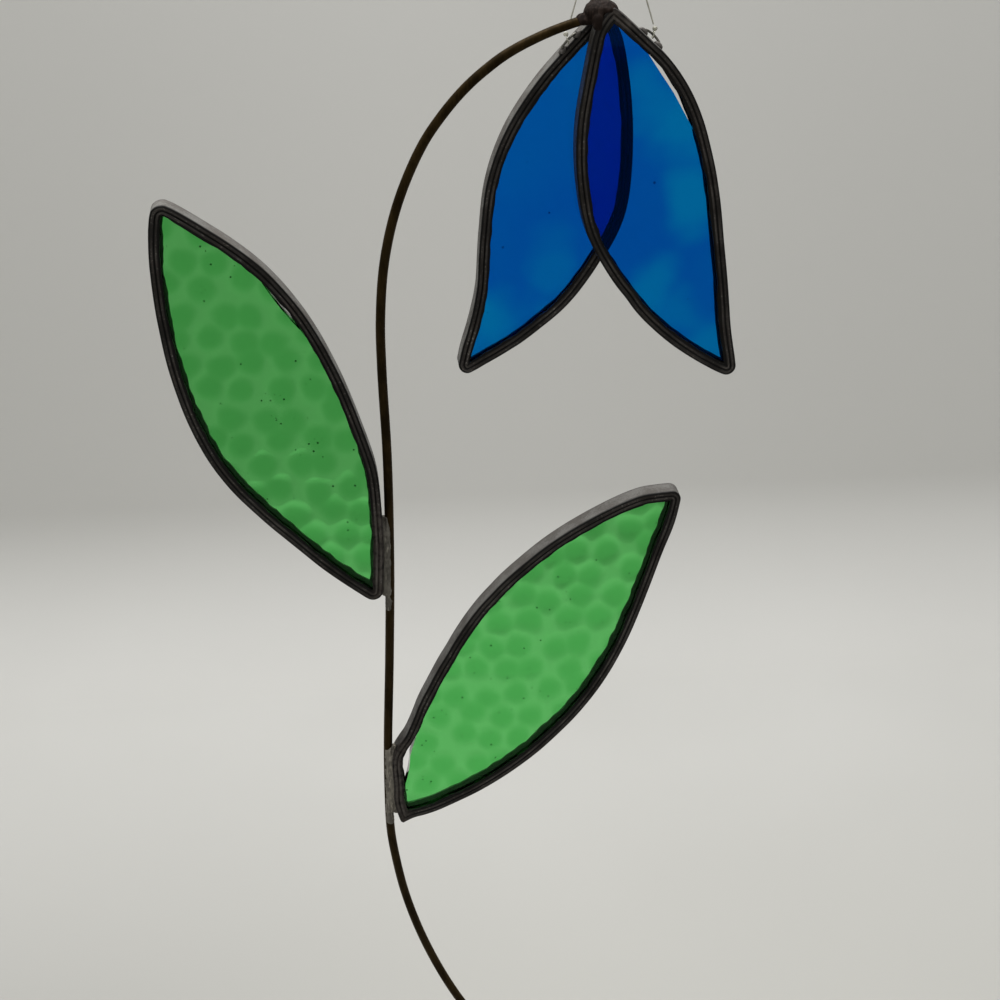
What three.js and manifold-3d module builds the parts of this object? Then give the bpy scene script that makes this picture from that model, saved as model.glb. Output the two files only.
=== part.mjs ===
// Stained glass flower suncatcher: two blue petals and two green leaves in lead strip, soldered to a
// bent rod, hanging on a clear line tied to two wire loops. Millimetres, +Z up, +X to the right as
// seen from the front, and the front faces -Y. The origin is where the line is hung up.
import * as THREE from 'three';
import { mergeVertices } from 'three/addons/utils/BufferGeometryUtils.js';
import Module from 'manifold-3d';

const wasm = await Module();
wasm.setup();

// Glass panes and the lead strip round them, a U section with its open side inwards
const GLASS_THICKNESS = 3;
const STRIP_FACE = 2.4;
const STRIP_WEB = 0.8;
const STRIP_FLANGE = 0.6;
const STRIP_END_GAP = 0.5;

// Clearances
const SEAT_GAP = 0.3;
const FINE_GAP = 0.1;

// The strip's fold at a petal's or leaf's tip, as the radius of its outside
const PETAL_FOLD = 2;
const LEAF_FOLD = 2.2;
const CUT_TIP = 0.5;

// The stem. Its top comes forward, past the line, between these two heights.
const STEM_DIAMETER = 1.9;
const STEM_FORWARD = [-75, -35];

// Wire loops on the petals' upper edges
const LOOP_WIRE = 0.5;
const LOOP_HALF_LENGTH = 2.1;
const LOOP_RISE = 0.95;
const LOOP_LEFT_X = -7.4;
const LOOP_RIGHT_X = 8.4;

// The hanging line and its eyes
const LINE_DIAMETER = 0.3;
const EYE_RADIUS = 0.7;
const KNOT_RADIUS = 0.55;

// Solder: the top lump's three radii and its middle, the seam bead's half width and half depth,
// and the three radii of the drop on a wire foot
const JOINT_LUMP = [3.4, 5.4, 3.2];
const JOINT_PLACE = [-1.9, -0.5, -25];
const BEAD_RADII = [1.75, 1.45];
const FOOT_BEAD = [1.1, 0.75, 0.7];

// How finely the shapes are drawn, in millimetres between points or in counts
const OUTLINE_STEP = 3;
const FOLD_STEPS = 7;
const ROD_SIDES = 12;
const STEM_STEPS = 80;
const WIRE_SIDES = 8;
const LOOP_STEPS = 14;
const LINE_STEPS = 76;
const SAME_POINT = 1e-4;

// Each pane is set by the outside of its strip: two edges as [x, z], both from the upper tip to the
// lower one, which smooth curves run through. clear says where the glass stops short of the strip
// on one edge and light comes past it, as heights and a width. stripEnds says where the strip's two
// ends meet, and the slope of the cut between them in degrees.
const PETAL_LEFT = {
  left: [[-1.1, -24.9], [-7.7, -31.9], [-14.5, -39.7], [-20.5, -49.2], [-24.2, -59.6],
    [-25.6, -71], [-26.4, -81], [-28.4, -90], [-32.4, -103.4]],
  right: [[-1.1, -24.9], [2.5, -29.6], [4.7, -40], [5.6, -51], [5.2, -62.5], [3.4, -69.8],
    [-0.7, -77.5], [-6.5, -85.4], [-12.5, -91], [-19.1, -95.9], [-32.4, -103.4]],
  folds: [PETAL_FOLD / 2, PETAL_FOLD],
  stripEnds: { at: [-1.1, -24.9], slope: 90 },
};
const PETAL_RIGHT = {
  left: [[-0.2, -23.4], [-3.4, -27.4], [-4.9, -33.8], [-6.1, -42.5], [-6.7, -50.4],
    [-6.3, -58.8], [-4.6, -68], [-1.1, -75.7], [4.8, -84.2], [12.9, -91.8], [23.1, -99.8],
    [29.2, -103.9]],
  right: [[-0.2, -23.4], [4.5, -27.4], [10.9, -33.6], [16.4, -41.9], [20.9, -52.6],
    [23.1, -61.8], [24.5, -71.5], [25.8, -80.8], [26.9, -89.3], [29.2, -103.9]],
  folds: [PETAL_FOLD / 2, PETAL_FOLD],
  stripEnds: { at: [-0.2, -23.4], slope: 90 },
  clear: { edge: 'right', from: -27, to: -54, width: 0.8 },
};
const LEAF_LEFT = {
  left: [[-92.2, -58.4], [-92.8, -67], [-93.1, -74.5], [-92.4, -86.5], [-90.2, -100.5],
    [-85.6, -114.6], [-76.5, -129], [-64.2, -141.9], [-55.8, -149.4], [-48, -155.6]],
  right: [[-92.2, -58.4], [-86, -63.1], [-75.7, -70.5], [-68.4, -77.4], [-61.3, -87.4],
    [-55.6, -99.8], [-50.9, -113.8], [-48.5, -123], [-47.7, -133], [-47.4, -143.6],
    [-48, -155.6]],
  folds: [LEAF_FOLD, LEAF_FOLD],
  stripEnds: { at: [-47.4, -146], slope: 0 },
  clear: { edge: 'right', from: -70, to: -98, width: 0.4 },
};
const LEAF_RIGHT = {
  left: [[18.9, -129.4], [11, -130.4], [3.5, -133.2], [-6.7, -138.9], [-15.3, -145.4],
    [-24.5, -154.6], [-34.1, -169.1], [-40.7, -182.3], [-43.8, -188.9], [-46.1, -194.6],
    [-46.6, -200], [-46.3, -206.5], [-45, -213.1]],
  right: [[18.9, -129.4], [17.6, -137.1], [15, -145], [11.8, -155], [6.2, -169.4],
    [-0.1, -181.2], [-8, -191.6], [-16.6, -199.4], [-26.5, -206.2], [-35.5, -210.6],
    [-45, -213.1]],
  folds: [LEAF_FOLD, CUT_TIP],
  stripEnds: { at: [-45, -213.1], slope: 58 },
  clear: { edge: 'left', from: -182, to: -208, width: 1.2 },
};

// The stem's centreline as [x, z], from the joint under the petals' tops to its lower end
const STEM_LINE = [[-5, -26.4], [-11.2, -28.4], [-19.6, -32.3], [-24.5, -35.7], [-28.9, -39.6],
  [-33.4, -44.9], [-37.4, -51], [-42.4, -62.9], [-45.4, -75.3], [-46.6, -88.2],
  [-46.6, -100], [-46, -120], [-46.1, -146.2], [-46.8, -170], [-47.7, -192.2],
  [-47.9, -204], [-47.7, -217], [-46.6, -226], [-44.6, -236.5], [-41.1, -248.6],
  [-36.4, -260.7], [-31.4, -270.9], [-26.1, -279.4], [-20.2, -287.5]];

// The line's route as [x, z] between the two knots, over its upper bend
const LINE_ROUTE = [[-8.1, -28.9], [-5.5, -19.5], [-2.9, -10.2], [-0.8, -2.6], [0, -0.15],
  [0.8, -2.6], [3.3, -10.2], [6.2, -19.5], [9, -28.2]];

// Seams between leaf and stem: the middle's x and z and half the height
const SEAM_LEFT = { x: -46.5, z: -146, half: 12 };
const SEAM_RIGHT = { x: -47.3, z: -205.5, half: 10.5 };

// Depths, which follow from the sizes above
const CHANNEL = GLASS_THICKNESS + 2 * SEAT_GAP;
const STRIP_DEPTH = CHANNEL + 2 * STRIP_FLANGE;
const PETAL_OFFSET = (STRIP_DEPTH + SEAT_GAP) / 2;

const MATERIALS = {
  lead: { color: '#2b2a29', roughness: 0.55, metalness: 0.8 },
  solder: { color: '#5a5753', roughness: 0.5, metalness: 0.8 },
  stem: { color: '#2e2116', roughness: 0.45, metalness: 0.7 },
  wire: { color: '#6f6a5c', roughness: 0.4, metalness: 0.8 },
  line: { color: '#c9c9be', roughness: 0.15, metalness: 0 },
  blueGlass: { color: '#0067b4', roughness: 0.05, metalness: 0, transparent: true, opacity: 0.7 },
  greenGlass: { color: '#4fae58', roughness: 0.08, metalness: 0, transparent: true, opacity: 0.7 },
};

/** Evenly spaced points on the smooth curve through an edge's points, run on straight past both. */
function drawnEdge(points) {
  const curve = new THREE.SplineCurve(points.map(([x, z]) => new THREE.Vector2(x, z)));
  const drawn = curve.getSpacedPoints(Math.ceil(curve.getLength() / OUTLINE_STEP));
  const past = (end, next) => end.clone().sub(next).setLength(STRIP_FACE).add(end);
  return [past(drawn[0], drawn[1]), ...drawn, past(drawn.at(-1), drawn.at(-2))];
}

/** An edge moved sideways, to its left by insetAt(point). */
function movedEdge(edge, insetAt) {
  return edge.map((point, i) => {
    const along = edge[Math.min(i + 1, edge.length - 1)].clone().sub(edge[Math.max(i - 1, 0)]);
    const sideways = new THREE.Vector2(-along.y, along.x).normalize();
    return point.clone().addScaledVector(sideways, insetAt(point));
  });
}

/** The crossing of two edges that is nearest a place, with the number of the point before it. */
function crossing(a, b, near) {
  const slack = 1e-6;
  let best = null;
  for (let i = 0; i + 1 < a.length; i += 1) {
    for (let j = 0; j + 1 < b.length; j += 1) {
      const r = a[i + 1].clone().sub(a[i]);
      const s = b[j + 1].clone().sub(b[j]);
      const gap = b[j].clone().sub(a[i]);
      const turn = r.cross(s);
      const t = gap.cross(s) / turn;
      const u = gap.cross(r) / turn;
      const on = t > -slack && t < 1 + slack && u > -slack && u < 1 + slack;
      const point = a[i].clone().addScaledVector(r, t);
      if (on && (!best || point.distanceTo(near) < best.point.distanceTo(near))) {
        best = { point, i, j };
      }
    }
  }
  return best;
}

/** A corner between two runs of points, the first ending and the second starting at it, rounded. */
function joinedRuns(run, next, radius) {
  const corner = run.at(-1);
  const into = corner.clone().sub(run.at(-2)).normalize();
  const out = next[1].clone().sub(corner).normalize();
  const turn = Math.acos(THREE.MathUtils.clamp(into.dot(out), -1, 1));
  if (radius <= FINE_GAP) {
    return { run, bend: [], next: next.slice(1) };
  }
  const cut = radius * Math.tan(turn / 2);
  const keep = (points) => points.filter((point) => point.distanceTo(corner) > cut + FINE_GAP);
  const kept = keep(run);
  const keptNext = keep(next);
  const start = corner.clone().addScaledVector(corner.clone().sub(kept.at(-1)).normalize(), -cut);
  const end = corner.clone().addScaledVector(keptNext[0].clone().sub(corner).normalize(), cut);
  const handle = (4 / 3) * Math.tan(turn / 4) / Math.tan(turn / 2);
  const bend = new THREE.CubicBezierCurve(start, start.clone().lerp(corner, handle),
    end.clone().lerp(corner, handle), end).getPoints(FOLD_STEPS);
  return { run: kept, bend, next: keptNext };
}

/** The closed outline that lies inset inside the outside of a pane's strip. */
function outline(pane, inset, clear = null) {
  const insetOf = (edge) => (point) => {
    if (!clear || clear.edge !== edge) {
      return inset;
    }
    const share = (point.y - clear.from) / (clear.to - clear.from);
    const shy = STRIP_FACE - inset + clear.width;
    return share > 0 && share < 1 ? inset + shy * Math.sin(Math.PI * share) : inset;
  };
  const left = movedEdge(drawnEdge(pane.left), insetOf('left'));
  const right = movedEdge(drawnEdge(pane.right), (point) => -insetOf('right')(point));
  const top = crossing(left, right, new THREE.Vector2(...pane.left[0]));
  const foot = crossing(left, right, new THREE.Vector2(...pane.left.at(-1)));
  const apart = (corner) => (point) => point.distanceTo(corner.point) > FINE_GAP;
  const down = left.slice(top.i + 1, foot.i + 1).filter(apart(top)).filter(apart(foot));
  const up = right.slice(top.j + 1, foot.j + 1).filter(apart(top)).filter(apart(foot)).reverse();
  const foldAt = joinedRuns([...down, foot.point], [foot.point, ...up],
    Math.max(pane.folds[1] - inset, 0));
  const around = [...foldAt.run, ...foldAt.bend, ...foldAt.next];
  const half = Math.floor(around.length / 2);
  const topAt = joinedRuns([...around.slice(half), top.point],
    [top.point, ...around.slice(0, half)], Math.max(pane.folds[0] - inset, 0));
  return [...topAt.run, ...topAt.bend, ...topAt.next];
}

/** A closed outline in the XZ plane made thick along Y, evenly to both sides of y = middle. */
function slab(points, thickness, middle = 0) {
  const geometry = new THREE.ExtrudeGeometry(new THREE.Shape(points),
    { depth: thickness, bevelEnabled: false });
  return geometry.rotateX(Math.PI / 2).translate(0, middle + thickness / 2, 0);
}

/** A round tube along a curve. */
function tube(curve, diameter, sides, steps) {
  const section = new THREE.Shape();
  section.absarc(0, 0, diameter / 2, 0, 2 * Math.PI);
  const round = new THREE.Shape(section.getSpacedPoints(sides).slice(0, sides));
  return new THREE.ExtrudeGeometry(round, { steps, extrudePath: curve, bevelEnabled: false });
}

/** A closed geometry as a solid that can be cut and joined. */
function solid(geometry) {
  const bare = geometry.clone();
  bare.deleteAttribute('normal');
  bare.deleteAttribute('uv');
  const merged = mergeVertices(bare, SAME_POINT);
  return new wasm.Manifold(new wasm.Mesh({
    numProp: 3,
    vertProperties: new Float32Array(merged.attributes.position.array),
    triVerts: new Uint32Array(merged.index.array),
  }));
}

/** A solid turned back into a geometry. */
function shell(cut) {
  const { vertProperties, triVerts } = cut.getMesh();
  const geometry = new THREE.BufferGeometry();
  geometry.setAttribute('position', new THREE.BufferAttribute(new Float32Array(vertProperties), 3));
  geometry.setIndex(new THREE.BufferAttribute(new Uint32Array(triVerts), 1));
  const flat = geometry.toNonIndexed();
  flat.computeVertexNormals();
  return flat;
}

/** A named mesh with a material of its own. */
function piece(name, geometry, look) {
  const mesh = new THREE.Mesh(geometry, new THREE.MeshStandardMaterial(MATERIALS[look]));
  mesh.name = name;
  return mesh;
}

/** The lead strip round a pane, folded at its tip and cut where its two ends meet. */
function strip(pane, middle) {
  const outside = solid(slab(outline(pane, 0), STRIP_DEPTH, middle));
  const sight = solid(slab(outline(pane, STRIP_FACE), 2 * STRIP_DEPTH, middle));
  const channel = solid(slab(outline(pane, STRIP_WEB), CHANNEL, middle));
  const saw = new THREE.BoxGeometry(4 * STRIP_FACE, 2 * STRIP_DEPTH, STRIP_END_GAP);
  const [x, z] = pane.stripEnds.at;
  saw.rotateY(-THREE.MathUtils.degToRad(pane.stripEnds.slope)).translate(x, middle, z);
  return shell(outside.subtract(sight).subtract(channel).subtract(solid(saw)));
}

/** The glass of a pane, seated in the strip's channel. */
function glass(pane, middle) {
  return slab(outline(pane, STRIP_WEB + SEAT_GAP, pane.clear), GLASS_THICKNESS, middle);
}

/** The room that a framed pane takes, with a gap all round, as a solid to cut its neighbours with. */
function envelope(pane, middle, gap) {
  return solid(slab(outline(pane, -gap), STRIP_DEPTH + 2 * gap, middle));
}

const stemCurve = new THREE.CatmullRomCurve3(STEM_LINE.map(([x, z]) => new THREE.Vector3(x,
  -PETAL_OFFSET * THREE.MathUtils.smoothstep(z, ...STEM_FORWARD), z)));
const stemRoom = solid(tube(stemCurve, STEM_DIAMETER + 2 * SEAT_GAP, ROD_SIDES, STEM_STEPS));

/** The lump of solder that holds both petals' tops and the stem's end together. */
function topJoint() {
  const lump = new THREE.SphereGeometry(1, 16, 12).scale(...JOINT_LUMP);
  lump.translate(...JOINT_PLACE);
  return shell(solid(lump)
    .subtract(envelope(PETAL_LEFT, PETAL_OFFSET, SEAT_GAP))
    .subtract(envelope(PETAL_RIGHT, -PETAL_OFFSET, SEAT_GAP))
    .subtract(stemRoom));
}

/** A long bead of solder in the corner between a leaf and the stem, on the front or the back. */
function seamBead(pane, seam, side) {
  const [wide, deep] = BEAD_RADII;
  const bead = new THREE.CapsuleGeometry(wide, 2 * (seam.half - wide), 4, 12, 8);
  bead.rotateX(Math.PI / 2).scale(1, deep / wide, 1).translate(seam.x, side * deep, seam.z);
  return shell(solid(bead).subtract(envelope(pane, 0, SEAT_GAP)).subtract(stemRoom));
}

/** Where a wire loop sits on a petal's outer edge: the seat, the way along and the way outwards. */
function loopSeat(edge, x, outwards) {
  const drawn = drawnEdge(edge);
  const i = drawn.findIndex((point, n) => n > 1 && (point.x - x) * (drawn[n - 1].x - x) <= 0);
  const [a, b] = [drawn[i - 1], drawn[i]];
  const seat = a.clone().lerp(b, (x - a.x) / (b.x - a.x));
  const along = b.clone().sub(a).normalize();
  const out = new THREE.Vector2(-along.y, along.x).multiplyScalar(outwards);
  return { seat, along, out };
}

const seatLeft = loopSeat(PETAL_LEFT.left, LOOP_LEFT_X, -1);
const seatRight = loopSeat(PETAL_RIGHT.right, LOOP_RIGHT_X, 1);
const LOOP_FOOT_DEPTH = PETAL_OFFSET - STRIP_DEPTH / 2 + LOOP_WIRE / 2 + SEAT_GAP / 2;

/** A place by a loop's seat: so far along the edge, out from it and to the back. */
function bySeat({ seat, along, out }, s, rise, depth) {
  const flat = seat.clone().addScaledVector(along, s).addScaledVector(out, rise);
  return new THREE.Vector3(flat.x, depth, flat.y);
}

/** The wire arch's centreline, a half ellipse that leans to bring its crest to the line's plane. */
function loopCurve(seatAt, side) {
  const foot = LOOP_WIRE / 2 + FINE_GAP;
  const points = Array.from({ length: LOOP_STEPS + 1 }, (_, i) => {
    const bend = Math.PI * (i / LOOP_STEPS - 0.5);
    return bySeat(seatAt, LOOP_HALF_LENGTH * Math.sin(bend),
      foot + (LOOP_RISE - foot) * Math.cos(bend),
      side * LOOP_FOOT_DEPTH * (1 - Math.cos(bend)));
  });
  return new THREE.CatmullRomCurve3(points);
}

/** The drop of solder on one foot of a wire loop. */
function footBead(pane, seatAt, curve, side, end) {
  const { along } = seatAt;
  const centre = bySeat(seatAt, end * LOOP_HALF_LENGTH, FINE_GAP, side * LOOP_FOOT_DEPTH);
  const drop = new THREE.SphereGeometry(1, 10, 8).scale(...FOOT_BEAD);
  drop.rotateY(-Math.atan2(along.y, along.x)).translate(centre.x, centre.y, centre.z);
  const wire = solid(tube(curve, LOOP_WIRE + 2 * FINE_GAP, WIRE_SIDES, LOOP_STEPS));
  const rooms = envelope(pane, side * PETAL_OFFSET, FINE_GAP);
  return shell(solid(drop).subtract(rooms).subtract(wire));
}

/** The line's eye round a wire loop's crest with its knot, as one solid, pulled to the origin. */
function eyeAndKnot(seatAt) {
  const crest = bySeat(seatAt, 0, LOOP_RISE, 0);
  const out = new THREE.Vector3(seatAt.out.x, 0, seatAt.out.y);
  const pull = crest.clone().negate().normalize();
  const up = out.add(pull).normalize();
  const eye = new THREE.TorusGeometry(EYE_RADIUS, LINE_DIAMETER / 2, WIRE_SIDES, 16);
  const turn = new THREE.Matrix4().makeBasis(up, new THREE.Vector3(0, 1, 0),
    up.clone().cross(new THREE.Vector3(0, 1, 0)));
  eye.applyMatrix4(turn).translate(crest.x, crest.y, crest.z);
  const knot = new THREE.SphereGeometry(KNOT_RADIUS, 10, 7);
  const at = crest.clone().addScaledVector(up, EYE_RADIUS + KNOT_RADIUS);
  knot.translate(at.x, at.y, at.z);
  return shell(solid(eye).add(solid(knot)));
}

const petals = new THREE.Group();
petals.add(piece('petal_left_glass', glass(PETAL_LEFT, PETAL_OFFSET), 'blueGlass'));
petals.add(piece('petal_left_came', strip(PETAL_LEFT, PETAL_OFFSET), 'lead'));
petals.add(piece('petal_right_glass', glass(PETAL_RIGHT, -PETAL_OFFSET), 'blueGlass'));
petals.add(piece('petal_right_came', strip(PETAL_RIGHT, -PETAL_OFFSET), 'lead'));

const leaves = new THREE.Group();
leaves.add(piece('leaf_left_glass', glass(LEAF_LEFT, 0), 'greenGlass'));
leaves.add(piece('leaf_left_came', strip(LEAF_LEFT, 0), 'lead'));
leaves.add(piece('leaf_right_glass', glass(LEAF_RIGHT, 0), 'greenGlass'));
leaves.add(piece('leaf_right_came', strip(LEAF_RIGHT, 0), 'lead'));

const stem = new THREE.Group();
stem.add(piece('stem_rod', tube(stemCurve, STEM_DIAMETER, ROD_SIDES, STEM_STEPS), 'stem'));
stem.add(piece('top_joint_solder', topJoint(), 'solder'));
for (const [name, pane, seam] of [['leaf_left', LEAF_LEFT, SEAM_LEFT],
  ['leaf_right', LEAF_RIGHT, SEAM_RIGHT]]) {
  stem.add(piece(`${name}_solder_front`, seamBead(pane, seam, -1), 'solder'));
  stem.add(piece(`${name}_solder_back`, seamBead(pane, seam, 1), 'solder'));
}

const loops = new THREE.Group();
for (const [name, pane, seatAt, side] of [['left', PETAL_LEFT, seatLeft, 1],
  ['right', PETAL_RIGHT, seatRight, -1]]) {
  const curve = loopCurve(seatAt, side);
  loops.add(piece(`hang_loop_${name}`, tube(curve, LOOP_WIRE, WIRE_SIDES, LOOP_STEPS), 'wire'));
  for (const [place, end] of [['upper', -1], ['lower', 1]]) {
    const bead = footBead(pane, seatAt, curve, side, end);
    loops.add(piece(`hang_loop_${name}_bead_${place}`, bead, 'solder'));
  }
}

const line = new THREE.Group();
const lineCurve = new THREE.CatmullRomCurve3(LINE_ROUTE.map(([x, z]) => new THREE.Vector3(x, 0, z)),
  false, 'centripetal');
line.add(piece('hanging_line', tube(lineCurve, LINE_DIAMETER, WIRE_SIDES, LINE_STEPS), 'line'));
line.add(piece('line_knot_left', eyeAndKnot(seatLeft), 'line'));
line.add(piece('line_knot_right', eyeAndKnot(seatRight), 'line'));

const suncatcher = new THREE.Group();
suncatcher.add(petals, leaves, stem, loops, line);

export default suncatcher;
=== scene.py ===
"""A stained glass flower suncatcher: reeded lead strip round coloured glass, soldered to a rod.

Two blue petals hang from the top of a bent bronze rod, and two green leaves are soldered to its
sides. A clear line is tied to two wire loops on the petals' upper edges, and the flower swings in
them. Sizes are in millimetres in the classes and in metres in the meshes.
"""

import logging
import math
import random
from dataclasses import dataclass, field
from enum import Enum
from functools import lru_cache
from typing import Callable, Iterator, Sequence

import bmesh
import bpy
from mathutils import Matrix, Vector, geometry, noise
from mathutils.kdtree import KDTree


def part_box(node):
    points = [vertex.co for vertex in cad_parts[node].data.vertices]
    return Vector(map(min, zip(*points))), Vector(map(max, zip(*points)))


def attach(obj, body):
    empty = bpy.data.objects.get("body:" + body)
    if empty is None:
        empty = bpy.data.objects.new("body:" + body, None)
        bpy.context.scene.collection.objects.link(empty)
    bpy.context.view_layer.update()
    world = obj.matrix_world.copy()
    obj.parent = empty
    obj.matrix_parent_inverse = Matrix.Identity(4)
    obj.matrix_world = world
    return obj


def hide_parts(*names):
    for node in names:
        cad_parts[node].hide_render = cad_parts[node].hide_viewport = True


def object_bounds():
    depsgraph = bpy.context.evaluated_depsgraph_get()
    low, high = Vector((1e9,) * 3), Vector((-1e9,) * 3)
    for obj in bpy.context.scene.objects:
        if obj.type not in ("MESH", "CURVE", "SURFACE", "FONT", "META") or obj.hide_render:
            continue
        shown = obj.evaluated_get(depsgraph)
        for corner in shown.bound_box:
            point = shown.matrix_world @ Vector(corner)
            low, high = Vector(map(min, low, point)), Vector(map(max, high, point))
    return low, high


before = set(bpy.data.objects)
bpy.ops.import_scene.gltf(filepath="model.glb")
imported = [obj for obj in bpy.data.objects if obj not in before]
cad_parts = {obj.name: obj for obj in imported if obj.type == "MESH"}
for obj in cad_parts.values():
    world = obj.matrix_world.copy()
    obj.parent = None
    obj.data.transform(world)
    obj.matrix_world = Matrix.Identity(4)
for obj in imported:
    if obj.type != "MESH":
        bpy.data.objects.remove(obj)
CAD_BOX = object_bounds()

log = logging.getLogger("suncatcher")

MM = 0.001
MERGE = 0.002 * MM
LEVEL = math.radians(0.3)
NEVER_SHARP = 180.0
FRAME_PIXELS = 1000
GLASS_IOR = 1.5
NOISE_RUN = (0.3, 0.7)


class Body(Enum):
    """What moves as one."""

    LINE = "line"
    FLOWER = "flower"


class Slot(Enum):
    """The record's finishes."""

    LEAD = "lead_strip"
    SOLDER = "solder"
    STEM = "stem"
    WIRE = "wire"
    LINE = "line"
    BLUE = "blue_glass"
    GREEN = "green_glass"


class Face(Enum):
    """The two sides of a flat thing, by the way their outsides point along Y."""

    FRONT = -1
    BACK = 1


class Pressed(Enum):
    """What a small bend is pressed into."""

    BOTH = "strip and glass"
    STRIP = "strip"
    GLASS = "glass"


def mm(*values: float) -> Vector:
    """A point given in millimetres, in metres."""
    return Vector(values) * MM


# Node groups and materials


class Nodes:
    """A short way to build a node tree."""

    def __init__(self, tree: bpy.types.NodeTree) -> None:
        """Keeps the tree that nodes are added to."""
        self.tree = tree

    def add(self, kind: str, **settings: object) -> bpy.types.Node:
        """Adds a node.

        Args:
            kind: The node's type name.
            **settings: Properties to set on it.

        Returns:
            The new node.
        """
        node = self.tree.nodes.new(kind)
        for name, value in settings.items():
            setattr(node, name, value)
        return node

    def put(self, node: bpy.types.Node, **values: object) -> bpy.types.Node:
        """Sets a node's inputs, each to a value or to a link from another node's output.

        Args:
            node: The node to set.
            **values: Inputs by name, with _ for a space; i0, i1 and so on go by number.

        Returns:
            The same node.
        """
        for name, value in values.items():
            numbered = name[0] == "i" and name[1:].isdigit()
            key = int(name[1:]) if numbered else name.replace("_", " ")
            if isinstance(value, bpy.types.NodeSocket):
                self.tree.links.new(value, node.inputs[key])
            else:
                node.inputs[key].default_value = value
        return node

    def math(self, operation: str, first: object, second: object = 0.0) -> bpy.types.NodeSocket:
        """One sum on two numbers."""
        node = self.put(self.add("ShaderNodeMath", operation=operation), i0=first, i1=second)
        return node.outputs[0]

    def spread(self, value: object, low: float, high: float,
               to: tuple[float, float] = (0.0, 1.0)) -> bpy.types.NodeSocket:
        """Maps a value's run smoothly to a new run, and holds it at both its ends.

        Args:
            value: The value.
            low: The start of its run.
            high: The end of its run.
            to: The new run's start and end.

        Returns:
            The mapped value.
        """
        node = self.add("ShaderNodeMapRange", interpolation_type="SMOOTHSTEP")
        self.put(node, Value=value, From_Min=low, From_Max=high, To_Min=to[0], To_Max=to[1])
        return node.outputs[0]

    def mix(self, share: object, first: object, second: object,
            blend: str = "MIX") -> bpy.types.NodeSocket:
        """Mixes two colours.

        Args:
            share: How much of the second is taken, from 0 to 1.
            first: The first colour.
            second: The second colour.
            blend: How they meet.

        Returns:
            The mixed colour.
        """
        node = self.add("ShaderNodeMix", data_type="RGBA", blend_type=blend)
        self.put(node, i0=share, i6=first, i7=second)
        return node.outputs[2]

    def noise(self, where: object, size: float, detail: float = 3.0) -> bpy.types.NodeSocket:
        """A soft noise.

        Args:
            where: The place on the piece.
            size: How wide its patches are, in millimetres.
            detail: How many finer layers it has.

        Returns:
            The noise, about 0.5 on the whole.
        """
        node = self.add("ShaderNodeTexNoise")
        self.put(node, Vector=where, Scale=1 / (size * MM), Detail=detail)
        return node.outputs[0]


Colour = tuple[float, float, float, float]
Group = tuple[bpy.types.NodeTree, Nodes, bpy.types.Node, bpy.types.Node]


def colour(red: float, green: float, blue: float) -> Colour:
    """A colour for a shader, from 0 to 1 in linear light."""
    return (red, green, blue, 1.0)


def new_group(name: str, inputs: dict[str, tuple[str, object]], outputs: dict[str, str]) -> Group:
    """Starts a shader node group.

    Args:
        name: The group's name.
        inputs: Each input's name, with its kind and default.
        outputs: Each output's name, with its kind.

    Returns:
        The group, its builder, and its input and output nodes.
    """
    tree = bpy.data.node_groups.new(name, "ShaderNodeTree")
    for title, (kind, default) in inputs.items():
        socket = tree.interface.new_socket(title, in_out="INPUT", socket_type=f"NodeSocket{kind}")
        if default is not None:
            socket.default_value = default
    for title, kind in outputs.items():
        tree.interface.new_socket(title, in_out="OUTPUT", socket_type=f"NodeSocket{kind}")
    nodes = Nodes(tree)
    return tree, nodes, nodes.add("NodeGroupInput"), nodes.add("NodeGroupOutput")


def patina_group() -> bpy.types.NodeTree:
    """The blotched darkening of worked metal.

    Returns:
        A group that gives a mask, from 0, bare, to 1, dark, and the height of a fine relief.
    """
    tree, nodes, given, made = new_group(
        "Patina",
        {"Vector": ("Vector", None), "Blotch Size": ("Float", 4.0), "Grain Size": ("Float", 0.5)},
        {"Mask": "Float", "Height": "Float"})

    def sized(size: bpy.types.NodeSocket, detail: float) -> bpy.types.NodeSocket:
        """A noise whose patches are as wide as one of the group's inputs says.

        Args:
            size: That input, in millimetres.
            detail: How many finer layers the noise has.

        Returns:
            The noise.
        """
        texture = nodes.add("ShaderNodeTexNoise")
        nodes.put(texture, Vector=given.outputs["Vector"], Detail=detail,
                  Scale=nodes.math("DIVIDE", 1 / MM, size))
        return texture.outputs[0]

    blotch_share, dark_run = 0.7, (0.36, 0.64)
    blotch = sized(given.outputs["Blotch Size"], 4.0)
    grain = sized(given.outputs["Grain Size"], 2.0)
    both = nodes.math("ADD", nodes.math("MULTIPLY", blotch, blotch_share),
                      nodes.math("MULTIPLY", grain, 1 - blotch_share))
    nodes.put(made, Mask=nodes.spread(both, *dark_run), Height=grain)
    return tree


def drawn_lines_group() -> bpy.types.NodeTree:
    """Fine lines along a drawn strip, from its along and across measures in millimetres.

    Returns:
        A group that gives a mask, from 0, a hollow, to 1, a line.
    """
    tree, nodes, given, made = new_group(
        "Drawn Lines",
        {"Along": ("Float", 0.0), "Across": ("Float", 0.0), "Line Width": ("Float", 0.12),
         "Line Length": ("Float", 9.0)},
        {"Mask": "Float"})
    line_run = (0.35, 0.65)
    place = nodes.add("ShaderNodeCombineXYZ")
    nodes.put(place, X=nodes.math("DIVIDE", given.outputs["Along"], given.outputs["Line Length"]),
              Y=nodes.math("DIVIDE", given.outputs["Across"], given.outputs["Line Width"]))
    lines = nodes.add("ShaderNodeTexNoise")
    nodes.put(lines, Vector=place.outputs[0], Scale=1.0, Detail=2.0)
    nodes.put(made, Mask=nodes.spread(lines.outputs[0], *line_run))
    return tree


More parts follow.
